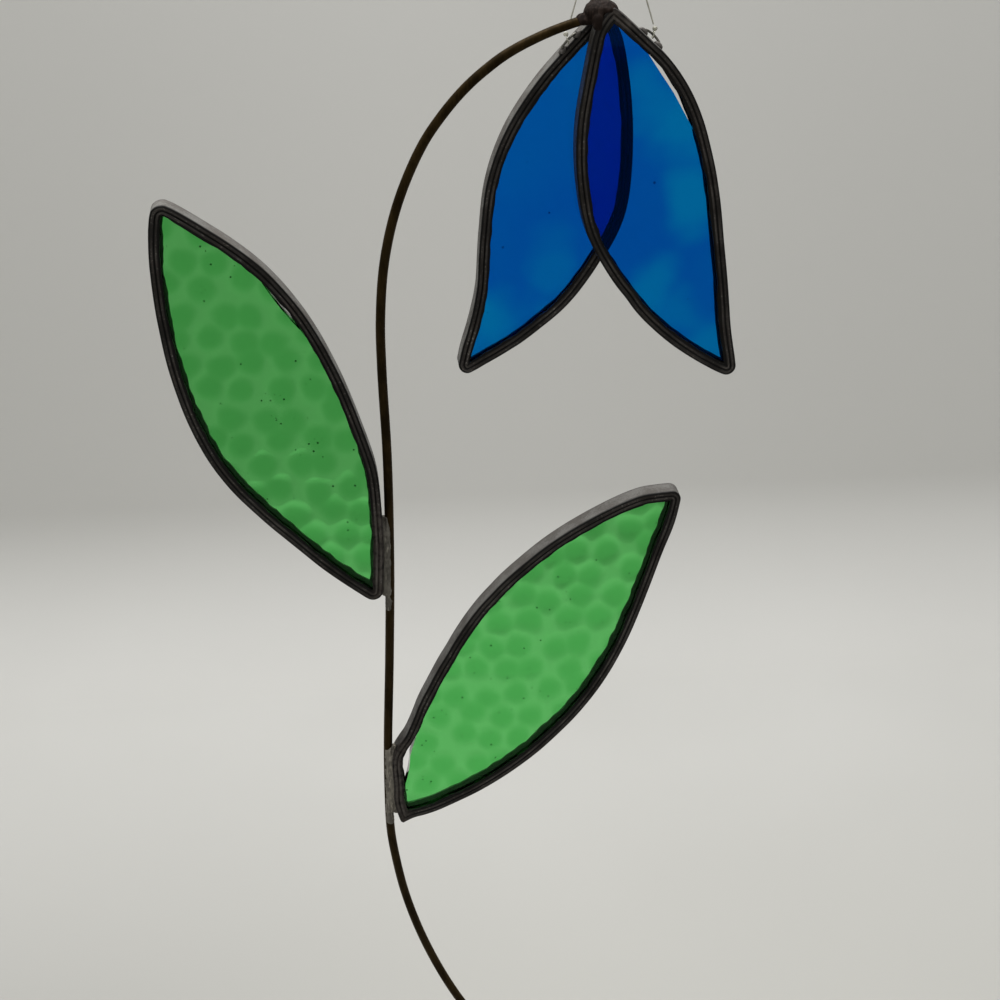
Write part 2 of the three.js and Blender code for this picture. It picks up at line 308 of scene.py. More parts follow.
def soft_patch_group() -> bpy.types.NodeTree:
    """A soft round patch in a pane, with a wavering rim.

    Returns:
        A group that gives a mask, from 0 outside to 1 in the patch's middle.
    """
    tree, nodes, given, made = new_group(
        "Soft Patch",
        {"Vector": ("Vector", None), "Middle": ("Vector", None), "Size": ("Float", 10.0)},
        {"Mask": "Float"})
    waver_size, waver_share, rim_run = 14.0, 0.35, (1.0, 0.15)
    waver = nodes.noise(given.outputs["Vector"], waver_size, 2.0)
    apart = nodes.add("ShaderNodeVectorMath", operation="DISTANCE")
    nodes.put(apart, i0=given.outputs["Vector"], i1=given.outputs["Middle"])
    reach = nodes.math("DIVIDE", nodes.math("DIVIDE", apart.outputs["Value"], MM),
                       given.outputs["Size"])
    moved = nodes.spread(waver, *NOISE_RUN, (-waver_share, waver_share))
    nodes.put(made, Mask=nodes.spread(nodes.math("ADD", reach, moved), *rim_run))
    return tree


def seeds_group() -> bpy.types.NodeTree:
    """Small dark seeds in glass: a share of the cells on the pane's plane has one.

    Returns:
        A group that gives a mask, from 0, clear, to 1, the darkest seed.
    """
    tree, nodes, given, made = new_group(
        "Seeds",
        {"Vector": ("Vector", None), "Cell": ("Float", 1.0), "Share": ("Float", 0.02),
         "Radius": ("Float", 0.2)},
        {"Mask": "Float"})
    apart = nodes.put(nodes.add("ShaderNodeSeparateXYZ"), Vector=given.outputs["Vector"])
    flat = nodes.put(nodes.add("ShaderNodeCombineXYZ"), X=apart.outputs["X"], Y=apart.outputs["Z"])
    cells = nodes.add("ShaderNodeTexVoronoi", voronoi_dimensions="2D")
    nodes.put(cells, Vector=flat.outputs[0],
              Scale=nodes.math("DIVIDE", 1 / MM, given.outputs["Cell"]))
    chance = nodes.put(nodes.add("ShaderNodeSeparateColor"), Color=cells.outputs["Color"])
    picked = nodes.math("GREATER_THAN", given.outputs["Share"], chance.outputs[0])
    size = nodes.math("MULTIPLY", given.outputs["Radius"],
                      nodes.math("ADD", chance.outputs[1], 0.5))
    near = nodes.math("SUBTRACT", 1.0, nodes.math("DIVIDE", cells.outputs["Distance"], size))
    dark = nodes.math("MULTIPLY", nodes.spread(near, 0.0, 0.5),
                      nodes.math("ADD", chance.outputs[2], 0.5))
    nodes.put(made, Mask=nodes.math("MINIMUM", nodes.math("MULTIPLY", picked, dark), 1.0))
    return tree


class Effects:
    """The node groups that several finishes share, each made once."""

    def __init__(self) -> None:
        """Makes the groups."""
        self.seeds = seeds_group()
        self.patina = patina_group()
        self.drawn_lines = drawn_lines_group()
        self.soft_patch = soft_patch_group()


class Finish:
    """A material with its principled shader and its builder."""

    def __init__(self, name: str, effects: Effects) -> None:
        """Starts an empty material.

        Args:
            name: The material's name.
            effects: The shared node groups.
        """
        self.effects = effects
        self.material = bpy.data.materials.new(name)
        self.material.use_nodes = True
        self.nodes = Nodes(self.material.node_tree)
        self.shader = self.material.node_tree.nodes["Principled BSDF"]
        self.place = self.nodes.add("ShaderNodeTexCoord").outputs["Object"]

    def group(self, tree: bpy.types.NodeTree, **values: object) -> bpy.types.Node:
        """Places a shared group with this finish's own values."""
        return self.nodes.put(self.nodes.add("ShaderNodeGroup", node_tree=tree), **values)

    def attribute(self, name: str) -> bpy.types.NodeSocket:
        """A number stored on the piece's own mesh."""
        return self.nodes.add("ShaderNodeAttribute", attribute_name=name).outputs["Fac"]

    def drawn_out(self, share: float) -> bpy.types.NodeSocket:
        """The place on the piece with its height scaled, which draws a pattern out along Z."""
        node = self.nodes.add("ShaderNodeMapping")
        return self.nodes.put(node, Vector=self.place, Scale=(1.0, 1.0, share)).outputs[0]

    def glaze(self, body: bpy.types.NodeSocket, edge: Colour, gloss: Colour) -> None:
        """Makes the shader clear glass.

        Args:
            body: The colour that the glass lets through.
            edge: The colour of its cut edges.
            gloss: The tint of its reflections.
        """
        colours = self.nodes.mix(self.attribute("cut_edge"), body, edge)
        self.nodes.put(self.shader, Base_Color=colours, Roughness=0.0, IOR=GLASS_IOR,
                       Transmission_Weight=1.0, Metallic=0.0, Specular_Tint=gloss)

    def roughness(self, mask: bpy.types.NodeSocket, bare: float, dark: float) -> None:
        """Gives the shader a roughness between that of a patina's bare and dark places."""
        self.nodes.put(self.shader, Roughness=self.nodes.spread(mask, 0.0, 1.0, (bare, dark)))

    def bump(self, height: bpy.types.NodeSocket, depth: float, strength: float) -> None:
        """Gives the shader a fine relief.

        Args:
            height: The relief's height, from 0 to 1.
            depth: How deep it is, in millimetres.
            strength: How much of it shows, from 0 to 1.
        """
        relief = self.nodes.add("ShaderNodeBump")
        self.nodes.put(relief, Height=height, Distance=depth * MM, Strength=strength)
        self.nodes.put(self.shader, Normal=relief.outputs[0])


@dataclass(frozen=True)
class BlackenedLead:
    """Blackened lead strip: near black on its reeded faces, with painted highlights and glints
    along the ridge crests, and dull grey on its edge, paler with painted light where it faces up.

    Patches are as wide as a value says, in millimetres. Roughness is a bare and a dark place's,
    and relief is its depth and how much of it shows, here and in the other finishes.
    """

    hollow: Colour = colour(0.0042, 0.0037, 0.0033)
    # The crest colour is a painted highlight along the ridge crests.
    crest_highlight: Colour = colour(0.112, 0.101, 0.092)
    # The rubbed colour is a painted glint on the ridge crests.
    painted_glint: Colour = colour(0.30, 0.285, 0.265)
    # The edge colours are the web's own dull grey, which the web measure lightens with painted
    # light where it faces up.
    edge: tuple[Colour, Colour] = (colour(0.180, 0.174, 0.163), colour(0.250, 0.242, 0.226))
    # The second tinned colour is the wetted face with the painted crest highlight.
    tinned: tuple[Colour, Colour] = (colour(0.056, 0.048, 0.042), colour(0.165, 0.150, 0.135))
    aged: Colour = colour(0.62, 0.58, 0.56)
    metallic: float = 0.35
    gloss: float = 0.25
    roughness: tuple[float, float] = (0.38, 0.55)
    relief: tuple[float, float] = (0.05, 0.5)
    blotches: float = 5.0
    grain: float = 0.6
    # The wear patches only vary how strong the painted crest highlight is.
    highlight_patch_size: float = 6.0
    least_highlight: float = 0.35
    least_line: float = 0.45
    line_depth: float = 0.5
    glint_spots: float = 0.45
    glint_run: tuple[float, float] = (0.60, 0.72)
    tin_runs: float = 1.1
    tin_run: tuple[float, float] = (0.3, 0.6)
    most_tin: float = 0.85

    def material(self, effects: Effects) -> bpy.types.Material:
        """Makes the strip's finish, from its painted crest highlight, web and tin measures; the web
        measure carries painted light.

        Args:
            effects: The shared node groups.

        Returns:
            The material.
        """
        made = Finish("Blackened lead", effects)
        nodes = made.nodes
        ridge, tin = made.attribute("ridge"), made.attribute("tin")
        drawn = made.group(effects.drawn_lines, Along=made.attribute("along"),
                           Across=made.attribute("across"))
        lines = drawn.outputs["Mask"]
        patina = made.group(effects.patina, Vector=made.place, Blotch_Size=self.blotches,
                            Grain_Size=self.grain)
        # The painted crest highlight, stronger and weaker in patches and along the drawn lines.
        highlight_strength = nodes.spread(nodes.noise(made.place, self.highlight_patch_size, 2.0), *NOISE_RUN,
                            (self.least_highlight, 1.0))
        crest_highlight = nodes.math("MULTIPLY", nodes.math("MULTIPLY", ridge, highlight_strength),
                           nodes.spread(lines, 0.0, 1.0, (self.least_line, 1.0)))
        # Pale spots on the crests are painted glints.
        glint_spots = nodes.spread(nodes.noise(made.place, self.glint_spots, 2.0), *self.glint_run)
        painted_glint = nodes.math("MULTIPLY", crest_highlight, glint_spots)
        face = nodes.mix(painted_glint, nodes.mix(crest_highlight, self.hollow, self.crest_highlight), self.painted_glint)
        runs = nodes.spread(nodes.noise(made.place, self.tin_runs), *self.tin_run,
                            (0.0, self.most_tin))
        wetted = nodes.mix(nodes.math("MULTIPLY", tin, runs), face, nodes.mix(crest_highlight, *self.tinned))
        # The web measure is partly the web's own grey and partly painted light from above.
        web_grey_and_light = nodes.math("MULTIPLY", made.attribute("web"), nodes.math("SUBTRACT", 1.0, tin))
        bare = nodes.mix(web_grey_and_light, wetted, nodes.mix(lines, *self.edge))
        aged = nodes.mix(patina.outputs["Mask"], bare, nodes.mix(1.0, bare, self.aged, "MULTIPLY"))
        nodes.put(made.shader, Base_Color=aged, Metallic=self.metallic,
                  Specular_IOR_Level=self.gloss)
        made.roughness(patina.outputs["Mask"], *self.roughness)
        drawn_relief = nodes.math("MULTIPLY", lines, self.line_depth)
        relief = nodes.math("ADD", patina.outputs["Height"], drawn_relief)
        made.bump(relief, *self.relief)
        return made.material


@dataclass(frozen=True)
class Solder:
    """Tinned and blackened solder, matt, with pale specks of painted glint; a higher tone is paler.
    """

    name: str
    tone: float
    cast: tuple[float, float, float] = (1.0, 0.91, 0.83)
    gloss: float = 0.25
    bare: float = 0.096
    dark: float = 0.046
    speck_glint: float = 0.140
    roughness: tuple[float, float] = (0.45, 0.65)
    relief: tuple[float, float] = (0.09, 0.7)
    blotches: float = 1.6
    grain: float = 0.35
    glint_specks: float = 0.5
    glint_speck_run: tuple[float, float] = (0.55, 0.75)
    drawn: float = 0.3

    def toned(self, light: float) -> Colour:
        """A lightness in this solder's cast and tone."""
        return colour(*(light * self.tone * part for part in self.cast))

    def material(self, effects: Effects) -> bpy.types.Material:
        """Makes the solder's finish, with its painted glint specks drawn out down the seam.

        Args:
            effects: The shared node groups.

        Returns:
            The material.
        """
        made = Finish(self.name, effects)
        nodes = made.nodes
        drawn = made.drawn_out(self.drawn)
        patina = made.group(effects.patina, Vector=drawn, Blotch_Size=self.blotches,
                            Grain_Size=self.grain)
        # Pale specks of painted glint.
        glint_specks = nodes.spread(nodes.noise(drawn, self.glint_specks, 1.0), *self.glint_speck_run)
        body = nodes.mix(patina.outputs["Mask"], self.toned(self.bare), self.toned(self.dark))
        nodes.put(made.shader, Base_Color=nodes.mix(glint_specks, body, self.toned(self.speck_glint)),
                  Metallic=self.gloss, Specular_IOR_Level=self.gloss)
        made.roughness(patina.outputs["Mask"], *self.roughness)
        made.bump(patina.outputs["Height"], *self.relief)
        return made.material


@dataclass(frozen=True)
class BrownPatina:
    """Dark brown patina on a drawn bronze rod, a little worn to the metal."""

    bare: Colour = colour(0.0270, 0.0172, 0.0058)
    dark: Colour = colour(0.0092, 0.0057, 0.0016)
    gloss: Colour = colour(1.0, 0.72, 0.42)
    roughness: tuple[float, float] = (0.40, 0.55)
    relief: tuple[float, float] = (0.03, 0.4)
    blotches: float = 2.6
    grain: float = 0.5
    drawn: float = 0.35

    def material(self, effects: Effects) -> bpy.types.Material:
        """Makes the rod's finish.

        Args:
            effects: The shared node groups.

        Returns:
            The material.
        """
        made = Finish("Brown patina", effects)
        nodes = made.nodes
        patina = made.group(effects.patina, Vector=made.drawn_out(self.drawn),
                            Blotch_Size=self.blotches, Grain_Size=self.grain)
        nodes.put(made.shader, Base_Color=nodes.mix(patina.outputs["Mask"], self.bare, self.dark),
                  Metallic=0.15, Specular_IOR_Level=0.1, Specular_Tint=self.gloss)
        made.roughness(patina.outputs["Mask"], *self.roughness)
        made.bump(patina.outputs["Height"], *self.relief)
        return made.material


@dataclass(frozen=True)
class TinnedWire:
    """Tinned wire, grey and a little rough."""

    bright: Colour = colour(0.20, 0.19, 0.165)
    dull: Colour = colour(0.105, 0.10, 0.085)
    relief: tuple[float, float] = (0.02, 0.5)

    def material(self, effects: Effects) -> bpy.types.Material:
        """Makes the wire's finish.

        Args:
            effects: The shared node groups.

        Returns:
            The material.
        """
        made = Finish("Tinned wire", effects)
        nodes = made.nodes
        patina = made.group(effects.patina, Vector=made.place, Blotch_Size=1.5, Grain_Size=0.25)
        nodes.put(made.shader, Base_Color=nodes.mix(patina.outputs["Mask"], self.bright, self.dull),
                  Metallic=0.6, Roughness=0.4)
        made.bump(patina.outputs["Height"], *self.relief)
        return made.material


@dataclass(frozen=True)
class ClearLine:
    """Clear nylon line with a yellow cast, see-through along its middle."""

    clear: Colour = colour(0.70, 0.69, 0.60)
    milky: Colour = colour(0.50, 0.49, 0.40)

    def material(self, effects: Effects) -> bpy.types.Material:
        """Makes the line's finish.

        Args:
            effects: The shared node groups.

        Returns:
            The material.
        """
        made = Finish("Clear line", effects)
        nodes = made.nodes
        cloud = nodes.spread(nodes.noise(made.place, 2.5), 0.4, 0.7)
        nodes.put(made.shader, Base_Color=nodes.mix(cloud, self.clear, self.milky), Roughness=0.12,
                  IOR=1.53, Transmission_Weight=0.55)
        return made.material


@dataclass(frozen=True)
class Streak:
    """A turquoise cloud in blue glass: its middle as x and z, its reach and its strength."""

    x: float
    z: float
    size: float
    strength: float = 1.0


@dataclass(frozen=True)
class BlueGlass:
    """Smooth cobalt glass with turquoise clouds."""

    name: str
    depth: float
    streaks: tuple[Streak, ...]
    deep: Colour = colour(0.0005, 0.129, 0.668)
    clouded: Colour = colour(0.0007, 0.290, 0.740)
    seed: Colour = colour(0.0, 0.004, 0.09)
    edge: Colour = colour(0.02, 0.10, 0.45)
    gloss: Colour = colour(0.01, 0.25, 0.9)
    drift: float = 28.0
    drift_run: tuple[float, float] = (0.35, 0.75)
    most_drift: float = 0.16

    def material(self, effects: Effects) -> bpy.types.Material:
        """Makes the glass as a tinted see-through material.

        Args:
            effects: The shared node groups.

        Returns:
            The material.
        """
        made = Finish(self.name, effects)
        nodes = made.nodes
        mask = nodes.spread(nodes.noise(made.place, self.drift, 2.0), *self.drift_run,
                            (0.0, self.most_drift))
        for streak in self.streaks:
            middle = mm(streak.x, self.depth, streak.z)
            patch = made.group(effects.soft_patch, Vector=made.place, Middle=middle,
                               Size=streak.size)
            scaled = nodes.math("MULTIPLY", patch.outputs["Mask"], streak.strength)
            mask = nodes.math("MAXIMUM", mask, scaled)
        seeds = made.group(effects.seeds, Vector=made.place, Cell=1.6, Share=0.014, Radius=0.17)
        dots = nodes.math("MULTIPLY", seeds.outputs[0], made.attribute("smooth_side"))
        body = nodes.mix(mask, self.deep, self.clouded)
        made.glaze(nodes.mix(dots, body, self.seed), self.edge, self.gloss)
        return made.material


@dataclass(frozen=True)
class GreenGlass:
    """Hammered green glass, deeper in its domes, partly from their thicker glass and partly as
    painted shade, with small dark seeds.
    """

    thin: Colour = colour(0.143, 0.640, 0.164)
    thick_and_shaded: Colour = colour(0.090, 0.545, 0.112)
    seed: Colour = colour(0.0004, 0.02, 0.001)
    edge: Colour = colour(0.020, 0.16, 0.030)
    gloss: Colour = colour(0.35, 0.95, 0.4)
    seedy_size: float = 9.0
    seedy_run: tuple[float, float] = (0.54, 0.60)
    most_seedy: float = 0.6
    dome_top: float = 0.96

    def material(self, effects: Effects) -> bpy.types.Material:
        """Makes the glass as a tinted see-through material.

        Args:
            effects: The shared node groups.

        Returns:
            The material.
        """
        made = Finish("Hammered green glass", effects)
        nodes = made.nodes
        dome = made.attribute("dome")
        # The dome tops are darker partly for thicker glass and partly as painted shade.
        body = nodes.mix(nodes.spread(dome, 0.20, 1.0), self.thin, self.thick_and_shaded)
        single = made.group(effects.seeds, Vector=made.place, Cell=0.95, Share=0.022, Radius=0.23)
        cluster = made.group(effects.seeds, Vector=made.place, Cell=0.75, Share=0.42, Radius=0.20)
        patchy = nodes.spread(nodes.noise(made.place, self.seedy_size, 1.0), *self.seedy_run,
                              (0.0, self.most_seedy))
        held = nodes.math("MULTIPLY", nodes.math("GREATER_THAN", dome, self.dome_top), patchy)
        seeds = nodes.math("MAXIMUM", single.outputs[0],
                           nodes.math("MULTIPLY", cluster.outputs[0], held))
        dots = nodes.math("MULTIPLY", seeds, made.attribute("smooth_side"))
        made.glaze(nodes.mix(dots, body, self.seed), self.edge, self.gloss)
        return made.material


@dataclass(frozen=True)
class PaleSheet:
    """The matt sheet of the studio: a floor, greyer at its front and left with painted shade, and a
    wall with a painted pool of light in its middle and painted shade on its left.
    """

    floor: tuple[Colour, Colour] = (colour(0.575, 0.570, 0.545), colour(0.600, 0.595, 0.570))
    # The corner colours are the floor's painted shade at its front, darker to the left.
    corner: tuple[Colour, Colour] = (colour(0.505, 0.500, 0.470), colour(0.435, 0.430, 0.405))
    wall: tuple[Colour, Colour] = (colour(0.603, 0.598, 0.573), colour(0.625, 0.620, 0.595))
    left_wall_shade: Colour = colour(0.562, 0.557, 0.532)
    cloud_size: float = 260.0
    wall_light_middle: float = 0.08
    wall_light_run: tuple[float, float] = (0.40, 0.0)
    front_shade_run: tuple[float, float] = (1.0, 0.55)
    left_shade_run: tuple[float, float] = (0.15, -0.30)
    left_wall_shade_run: tuple[float, float] = (0.05, -0.40)

    def material(self, effects: Effects, low: float, high: float) -> bpy.types.Material:
        """Makes the sheet's finish; its runs are places along X and Y in metres.

        Args:
            effects: The shared node groups.
            low: The floor's height, in millimetres.
            high: The height where the sheet has become the wall.

        Returns:
            The material.
        """
        made = Finish("Pale sheet", effects)
        nodes = made.nodes
        apart = nodes.put(nodes.add("ShaderNodeSeparateXYZ"), Vector=made.place)
        across, away, up = (apart.outputs[axis] for axis in "XYZ")
        cloud = nodes.spread(nodes.noise(made.place, self.cloud_size, 2.0), *NOISE_RUN)
        # Painted shade on the front of the floor, darker to the left.
        corner = nodes.mix(nodes.spread(across, *self.left_shade_run), *self.corner)
        floor = nodes.mix(nodes.spread(away, *self.front_shade_run), nodes.mix(cloud, *self.floor),
                          corner)
        # A painted pool of light in the middle of the wall, and painted shade on its left side.
        aside = nodes.math("ABSOLUTE", nodes.math("SUBTRACT", across, self.wall_light_middle))
        wall = nodes.mix(nodes.spread(aside, *self.wall_light_run), *self.wall)
        wall = nodes.mix(nodes.spread(across, *self.left_wall_shade_run), wall, self.left_wall_shade)
        upright = nodes.spread(up, low * MM, high * MM)
        nodes.put(made.shader, Base_Color=nodes.mix(upright, floor, wall), Roughness=0.9,
                  Specular_IOR_Level=0.1)
        return made.material


# Reading the fixed frame, and making pieces


def merged_copy(node: str) -> bmesh.types.BMesh:
    """A node's mesh with its loose triangles merged.

    Args:
        node: The node.

    Returns:
        The mesh, as a bmesh of its own.
    """
    shape = bmesh.new()
    shape.from_mesh(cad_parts[node].data)
    bmesh.ops.remove_doubles(shape, verts=shape.verts, dist=MERGE)
    return shape


def flat_faced_copy(node: str) -> bmesh.types.BMesh:
    """A merged copy whose flat faces are each one polygon.

    Args:
        node: The node.

    Returns:
        The mesh, as a bmesh of its own.
    """
    shape = merged_copy(node)
    bmesh.ops.dissolve_limit(shape, angle_limit=LEVEL, verts=shape.verts, edges=shape.edges)
    return shape


def chained(verts: set[bmesh.types.BMVert]) -> list[Vector]:
    """Puts vertices that edges join in one row in order, anticlockwise from the front.

    Args:
        verts: The row's vertices.

    Returns:
        Their places as x and z, starting at an open end if the row has one.
    """
    def beside(vert: bmesh.types.BMVert) -> list[bmesh.types.BMVert]:
        """The row's vertices that an edge joins to one of them."""
        others = (edge.other_vert(vert) for edge in vert.link_edges)
        return [other for other in others if other in verts]

    first = min(verts, key=lambda vert: (len(beside(vert)), -vert.co.z))
    row = [first]
    seen = {first}
    while True:
        onward = [vert for vert in beside(row[-1]) if vert not in seen]
        if not onward:
            break
        row.append(onward[0])
        seen.add(onward[0])
    points = [Vector((vert.co.x, vert.co.z)) for vert in row]
    turned = sum(a.cross(b) for a, b in zip(points, points[1:] + points[:1]))
    return points if turned > 0 else points[::-1]


@lru_cache
def strip_outlines(node: str) -> tuple[list[Vector], list[Vector]]:
    """Reads the two edges of a strip's front face.

    Args:
        node: The strip's node.

    Returns:
        Its outer and its inner edge, as x and z.
    """
    low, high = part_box(node)
    shape = flat_faced_copy(node)

    def spans(vert: bmesh.types.BMVert) -> bool:
        """True where an edge runs through the whole depth."""
        return any(edge.other_vert(vert).co.y > high.y - MERGE for edge in vert.link_edges)

    front = {vert for vert in shape.verts if vert.co.y < low.y + MERGE}
    outer = {vert for vert in front if spans(vert)}
    found = chained(outer), chained(front - outer)
    shape.free()
    return found


@lru_cache
def rings(node: str) -> list[tuple[Vector, float]]:
    """Reads the rings of a round bar, from one end to the other.

    Args:
        node: The bar's node.

    Returns:
        Each ring's middle and radius.
    """
    shape = merged_copy(node)
    shape.verts.ensure_lookup_table()
    flat = shape.copy()
    number = flat.verts.layers.int.new("number")
    for index, vert in enumerate(flat.verts):
        vert[number] = index
    bmesh.ops.dissolve_limit(flat, angle_limit=LEVEL, verts=flat.verts, edges=flat.edges)

    def unevenness(face: bmesh.types.BMFace) -> float:
        """How far a face is from round.

        Args:
            face: The face.

        Returns:
            0 where it is round, and up to 1.
        """
        middle = sum((vert.co for vert in face.verts), Vector()) / len(face.verts)
        reach = [(vert.co - middle).length for vert in face.verts]
        return (max(reach) - min(reach)) / max(reach)

    cap = min((face for face in flat.faces if len(face.verts) > 6), key=unevenness)
    ring = {shape.verts[vert[number]] for vert in cap.verts}
    flat.free()
    seen = set(ring)
    found = []
    while ring:
        row = sorted(ring, key=lambda vert: tuple(vert.co))
        middle = sum((vert.co for vert in row), Vector()) / len(row)
        found.append((middle, max((vert.co - middle).length for vert in ring)))
        ring = {edge.other_vert(vert) for vert in ring for edge in vert.link_edges} - seen
        seen |= ring
    shape.free()
    return found


def flowing(outline: Sequence[Vector], steps: int) -> list[Vector]:
    """A closed outline with smooth runs between its points.

    Args:
        outline: The points, as x and z.
        steps: How many points each run is cut into.

    Returns:
        The finer outline.
    """
    curve = bpy.data.curves.new("outline", "CURVE")
    curve.dimensions = "3D"
    spline = curve.splines.new("BEZIER")
    spline.bezier_points.add(len(outline) - 1)
    for handle, place in zip(spline.bezier_points, outline):
        handle.co = (place.x, 0.0, place.y)
        handle.handle_left_type = handle.handle_right_type = "AUTO"
    spline.use_cyclic_u = True
    spline.resolution_u = steps
    holder = bpy.data.objects.new("outline", curve)
    points = [Vector((vert.co.x, vert.co.z)) for vert in holder.to_mesh().vertices]
    holder.to_mesh_clear()
    bpy.data.objects.remove(holder)
    bpy.data.curves.remove(curve)
    return points


def finished(name: str, shape: bmesh.types.BMesh, finish: bpy.types.Material, slot: Slot,
             body: Body, nodes: Sequence[str], sharp: float) -> bpy.types.Object:
    """Makes a piece of a finished bmesh and puts it on its body.

    Args:
        name: The piece's name.
        shape: Its mesh, in metres, in the frame.
        finish: Its material.
        slot: The record's slot of that finish; not used.
        body: The body that it moves with.
        nodes: The nodes that it stands for.
        sharp: The angle in degrees past which an edge shows.

    Returns:
        The new object.
    """
    mesh = bpy.data.meshes.new(name)
    shape.to_mesh(mesh)
    shape.free()
    mesh.shade_smooth()
    mesh.set_sharp_from_angle(angle=math.radians(sharp))
    mesh.materials.append(finish)
    piece = bpy.data.objects.new(name, mesh)
    bpy.context.scene.collection.objects.link(piece)
    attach(piece, body.value)
    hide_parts(*nodes)
    log.info("%s: %d faces", name, len(mesh.polygons))
    return piece


@dataclass
class Piece:
    """A rigid piece that stands for one node."""

    node: str
    name: str

    def build(self) -> bmesh.types.BMesh:
        """The piece's mesh, which is its node's own until a piece has another."""
        return merged_copy(self.node)

    def make(self, finish: bpy.types.Material, slot: Slot, body: Body = Body.FLOWER,
             sharp: float = 40.0) -> bpy.types.Object:
        """Builds the piece and puts it in the scene.

        Args:
            finish: Its material.
            slot: The record's slot of that finish.
            body: The body that it moves with.
            sharp: The angle in degrees past which an edge shows.

        Returns:
            The new object.
        """
        return finished(self.name, self.build(), finish, slot, body, [self.node], sharp)


def remeshed(shape: bmesh.types.BMesh, voxel: float, rounds: int) -> bmesh.types.BMesh:
    """One even skin round everything in a bmesh, smoothed.

    Args:
        shape: The closed forms to wrap; it is freed.
        voxel: The new faces' size in millimetres.
        rounds: How often the skin is smoothed.

    Returns:
        The skin.
    """
    mesh = bpy.data.meshes.new("lump")
    shape.to_mesh(mesh)
    shape.free()
    holder = bpy.data.objects.new("lump", mesh)
    bpy.context.scene.collection.objects.link(holder)
    remesh = holder.modifiers.new("skin", "REMESH")
    remesh.mode = "VOXEL"
    remesh.voxel_size = voxel * MM
    seen = holder.evaluated_get(bpy.context.evaluated_depsgraph_get())
    skin = bmesh.new()
    skin.from_mesh(seen.to_mesh())
    seen.to_mesh_clear()
    bpy.data.objects.remove(holder)
    bpy.data.meshes.remove(mesh)
    for _ in range(rounds):
        bmesh.ops.smooth_vert(skin, verts=skin.verts, factor=0.5, use_axis_x=True, use_axis_y=True,
                              use_axis_z=True)
    return skin


def fitted(skin: bmesh.types.BMesh, node: str) -> None:
    """Stretches a skin to its node's box, which smoothing has drawn it in from.

    Args:
        skin: The skin.
        node: The node that it stands for.
    """
    low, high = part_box(node)
    for axis in range(3):
        reach = [vert.co[axis] for vert in skin.verts]
        start = min(reach)
        share = (high[axis] - low[axis]) / (max(reach) - start)
        for vert in skin.verts:
            vert.co[axis] = low[axis] + (vert.co[axis] - start) * share


def roughened(shape: bmesh.types.BMesh, size: float, height: float) -> None:
    """Moves a skin's vertices in and out by a soft noise.

    Args:
        shape: The skin.
        size: The noise's patches, in millimetres.
        height: How far it moves them, in millimetres.
    """
    shape.normal_update()
    moves = [(vert, vert.normal * noise.noise(vert.co / (size * MM)) * height * MM)
             for vert in shape.verts]
    for vert, move in moves:
        vert.co += move


# The framed panes


Station = tuple[float, float, bool]


@dataclass
class StripSection:
    """The lead strip's section: a U with three ridges on each of its faces, in millimetres.

    A groove or ridge is its middle and its width, as shares of the face, and its depth or the
    strength of the painted highlight on its crest.
    """

    face: float = 2.4
    depth: float = 4.8
    web: float = 0.8
    flange: float = 0.6
    corner: float = 0.35
    corner_start: float = 2.2
    lip: float = 0.2
    groove: float = 0.21
    grooves: tuple[tuple[float, float, float], ...] = ((0.49, 0.055, 1.0), (0.86, 0.06, 0.7))
    ridges: tuple[tuple[float, float, float], ...] = ((0.28, 0.12, 0.8), (0.66, 0.10, 1.0))
    back_reach: float = 0.0
    face_rows: int = 24

    def dip(self, inset: float) -> float:
        """How deep the face lies below its ridges.

        Args:
            inset: How far in from the strip's edge.

        Returns:
            The depth in millimetres.
        """
        share = inset / self.face
        return self.groove * max(deep * math.exp(-((share - middle) / width) ** 2)
                                 for middle, width, deep in self.grooves)

    def crest_highlight(self, inset: float) -> float:
        """How strongly a place on the face gets the painted highlight of a ridge's crest.

        Args:
            inset: How far in from the strip's edge.

        Returns:
            The share, from 0 to 1.
        """
        share = inset / self.face
        return max(highlight_strength * math.exp(-((share - middle) / width) ** 4)
                   for middle, width, highlight_strength in self.ridges)

    def stations(self) -> list[Station]:
        """The section's points from the edge's middle round one face and back inside.

        Returns:
            For each: how far in it lies, how far out from the middle plane, and whether it is
            ridged.
        """
        half = self.depth / 2
        edge = [(0.0, 0.0, False), (0.0, half - self.corner_start * self.corner, False)]
        bend = [math.radians(angle) for angle in (0, 30, 60, 90)]
        edge += [(self.corner * (1 - math.cos(a)), half - self.corner * (1 - math.sin(a)), False)
                 for a in bend]
        run = self.face - self.corner - self.lip
        rows = [(self.corner + run * row / self.face_rows, half, True)
                for row in range(1, self.face_rows + 1)]
        lip = [(self.face - self.lip * (1 - math.sin(a)), half - self.lip * (1 - math.cos(a)),
                False) for a in bend[1:]]
        inside = [(self.face, half - self.flange, False), (self.web, half - self.flange, False),
                  (self.web, 0.0, False)]
        return edge + rows + lip + inside

    def whole(self) -> list[Station]:
        """The stations of both faces, as one closed round.

        Returns:
            The stations; those of the front face have a negative depth.
        """
        half = self.stations()
        front = [(inset, -out, ridged) for inset, out, ridged in half]
        return front + half[-2::-1]


@dataclass(frozen=True)
class TinnedRun:
    """Where solder has wetted a strip's face: the run's two ends as x and z, and its reach."""

    top: tuple[float, float]
    bottom: tuple[float, float]
    reach: float

    def share(self, point: Vector) -> float:
        """How far the strip is tinned at a point.

        Args:
            point: The point, as x and z.

        Returns:
            The share, from 0 to 1.
        """
        a, b = (Vector(end) * MM for end in (self.top, self.bottom))
        along = min(max(geometry.intersect_point_line(point, a, b)[1], 0.0), 1.0)
        off = (point - a.lerp(b, along)).length / (self.reach * MM)
        return min(max(2.0 * (1.0 - off), 0.0), 1.0)


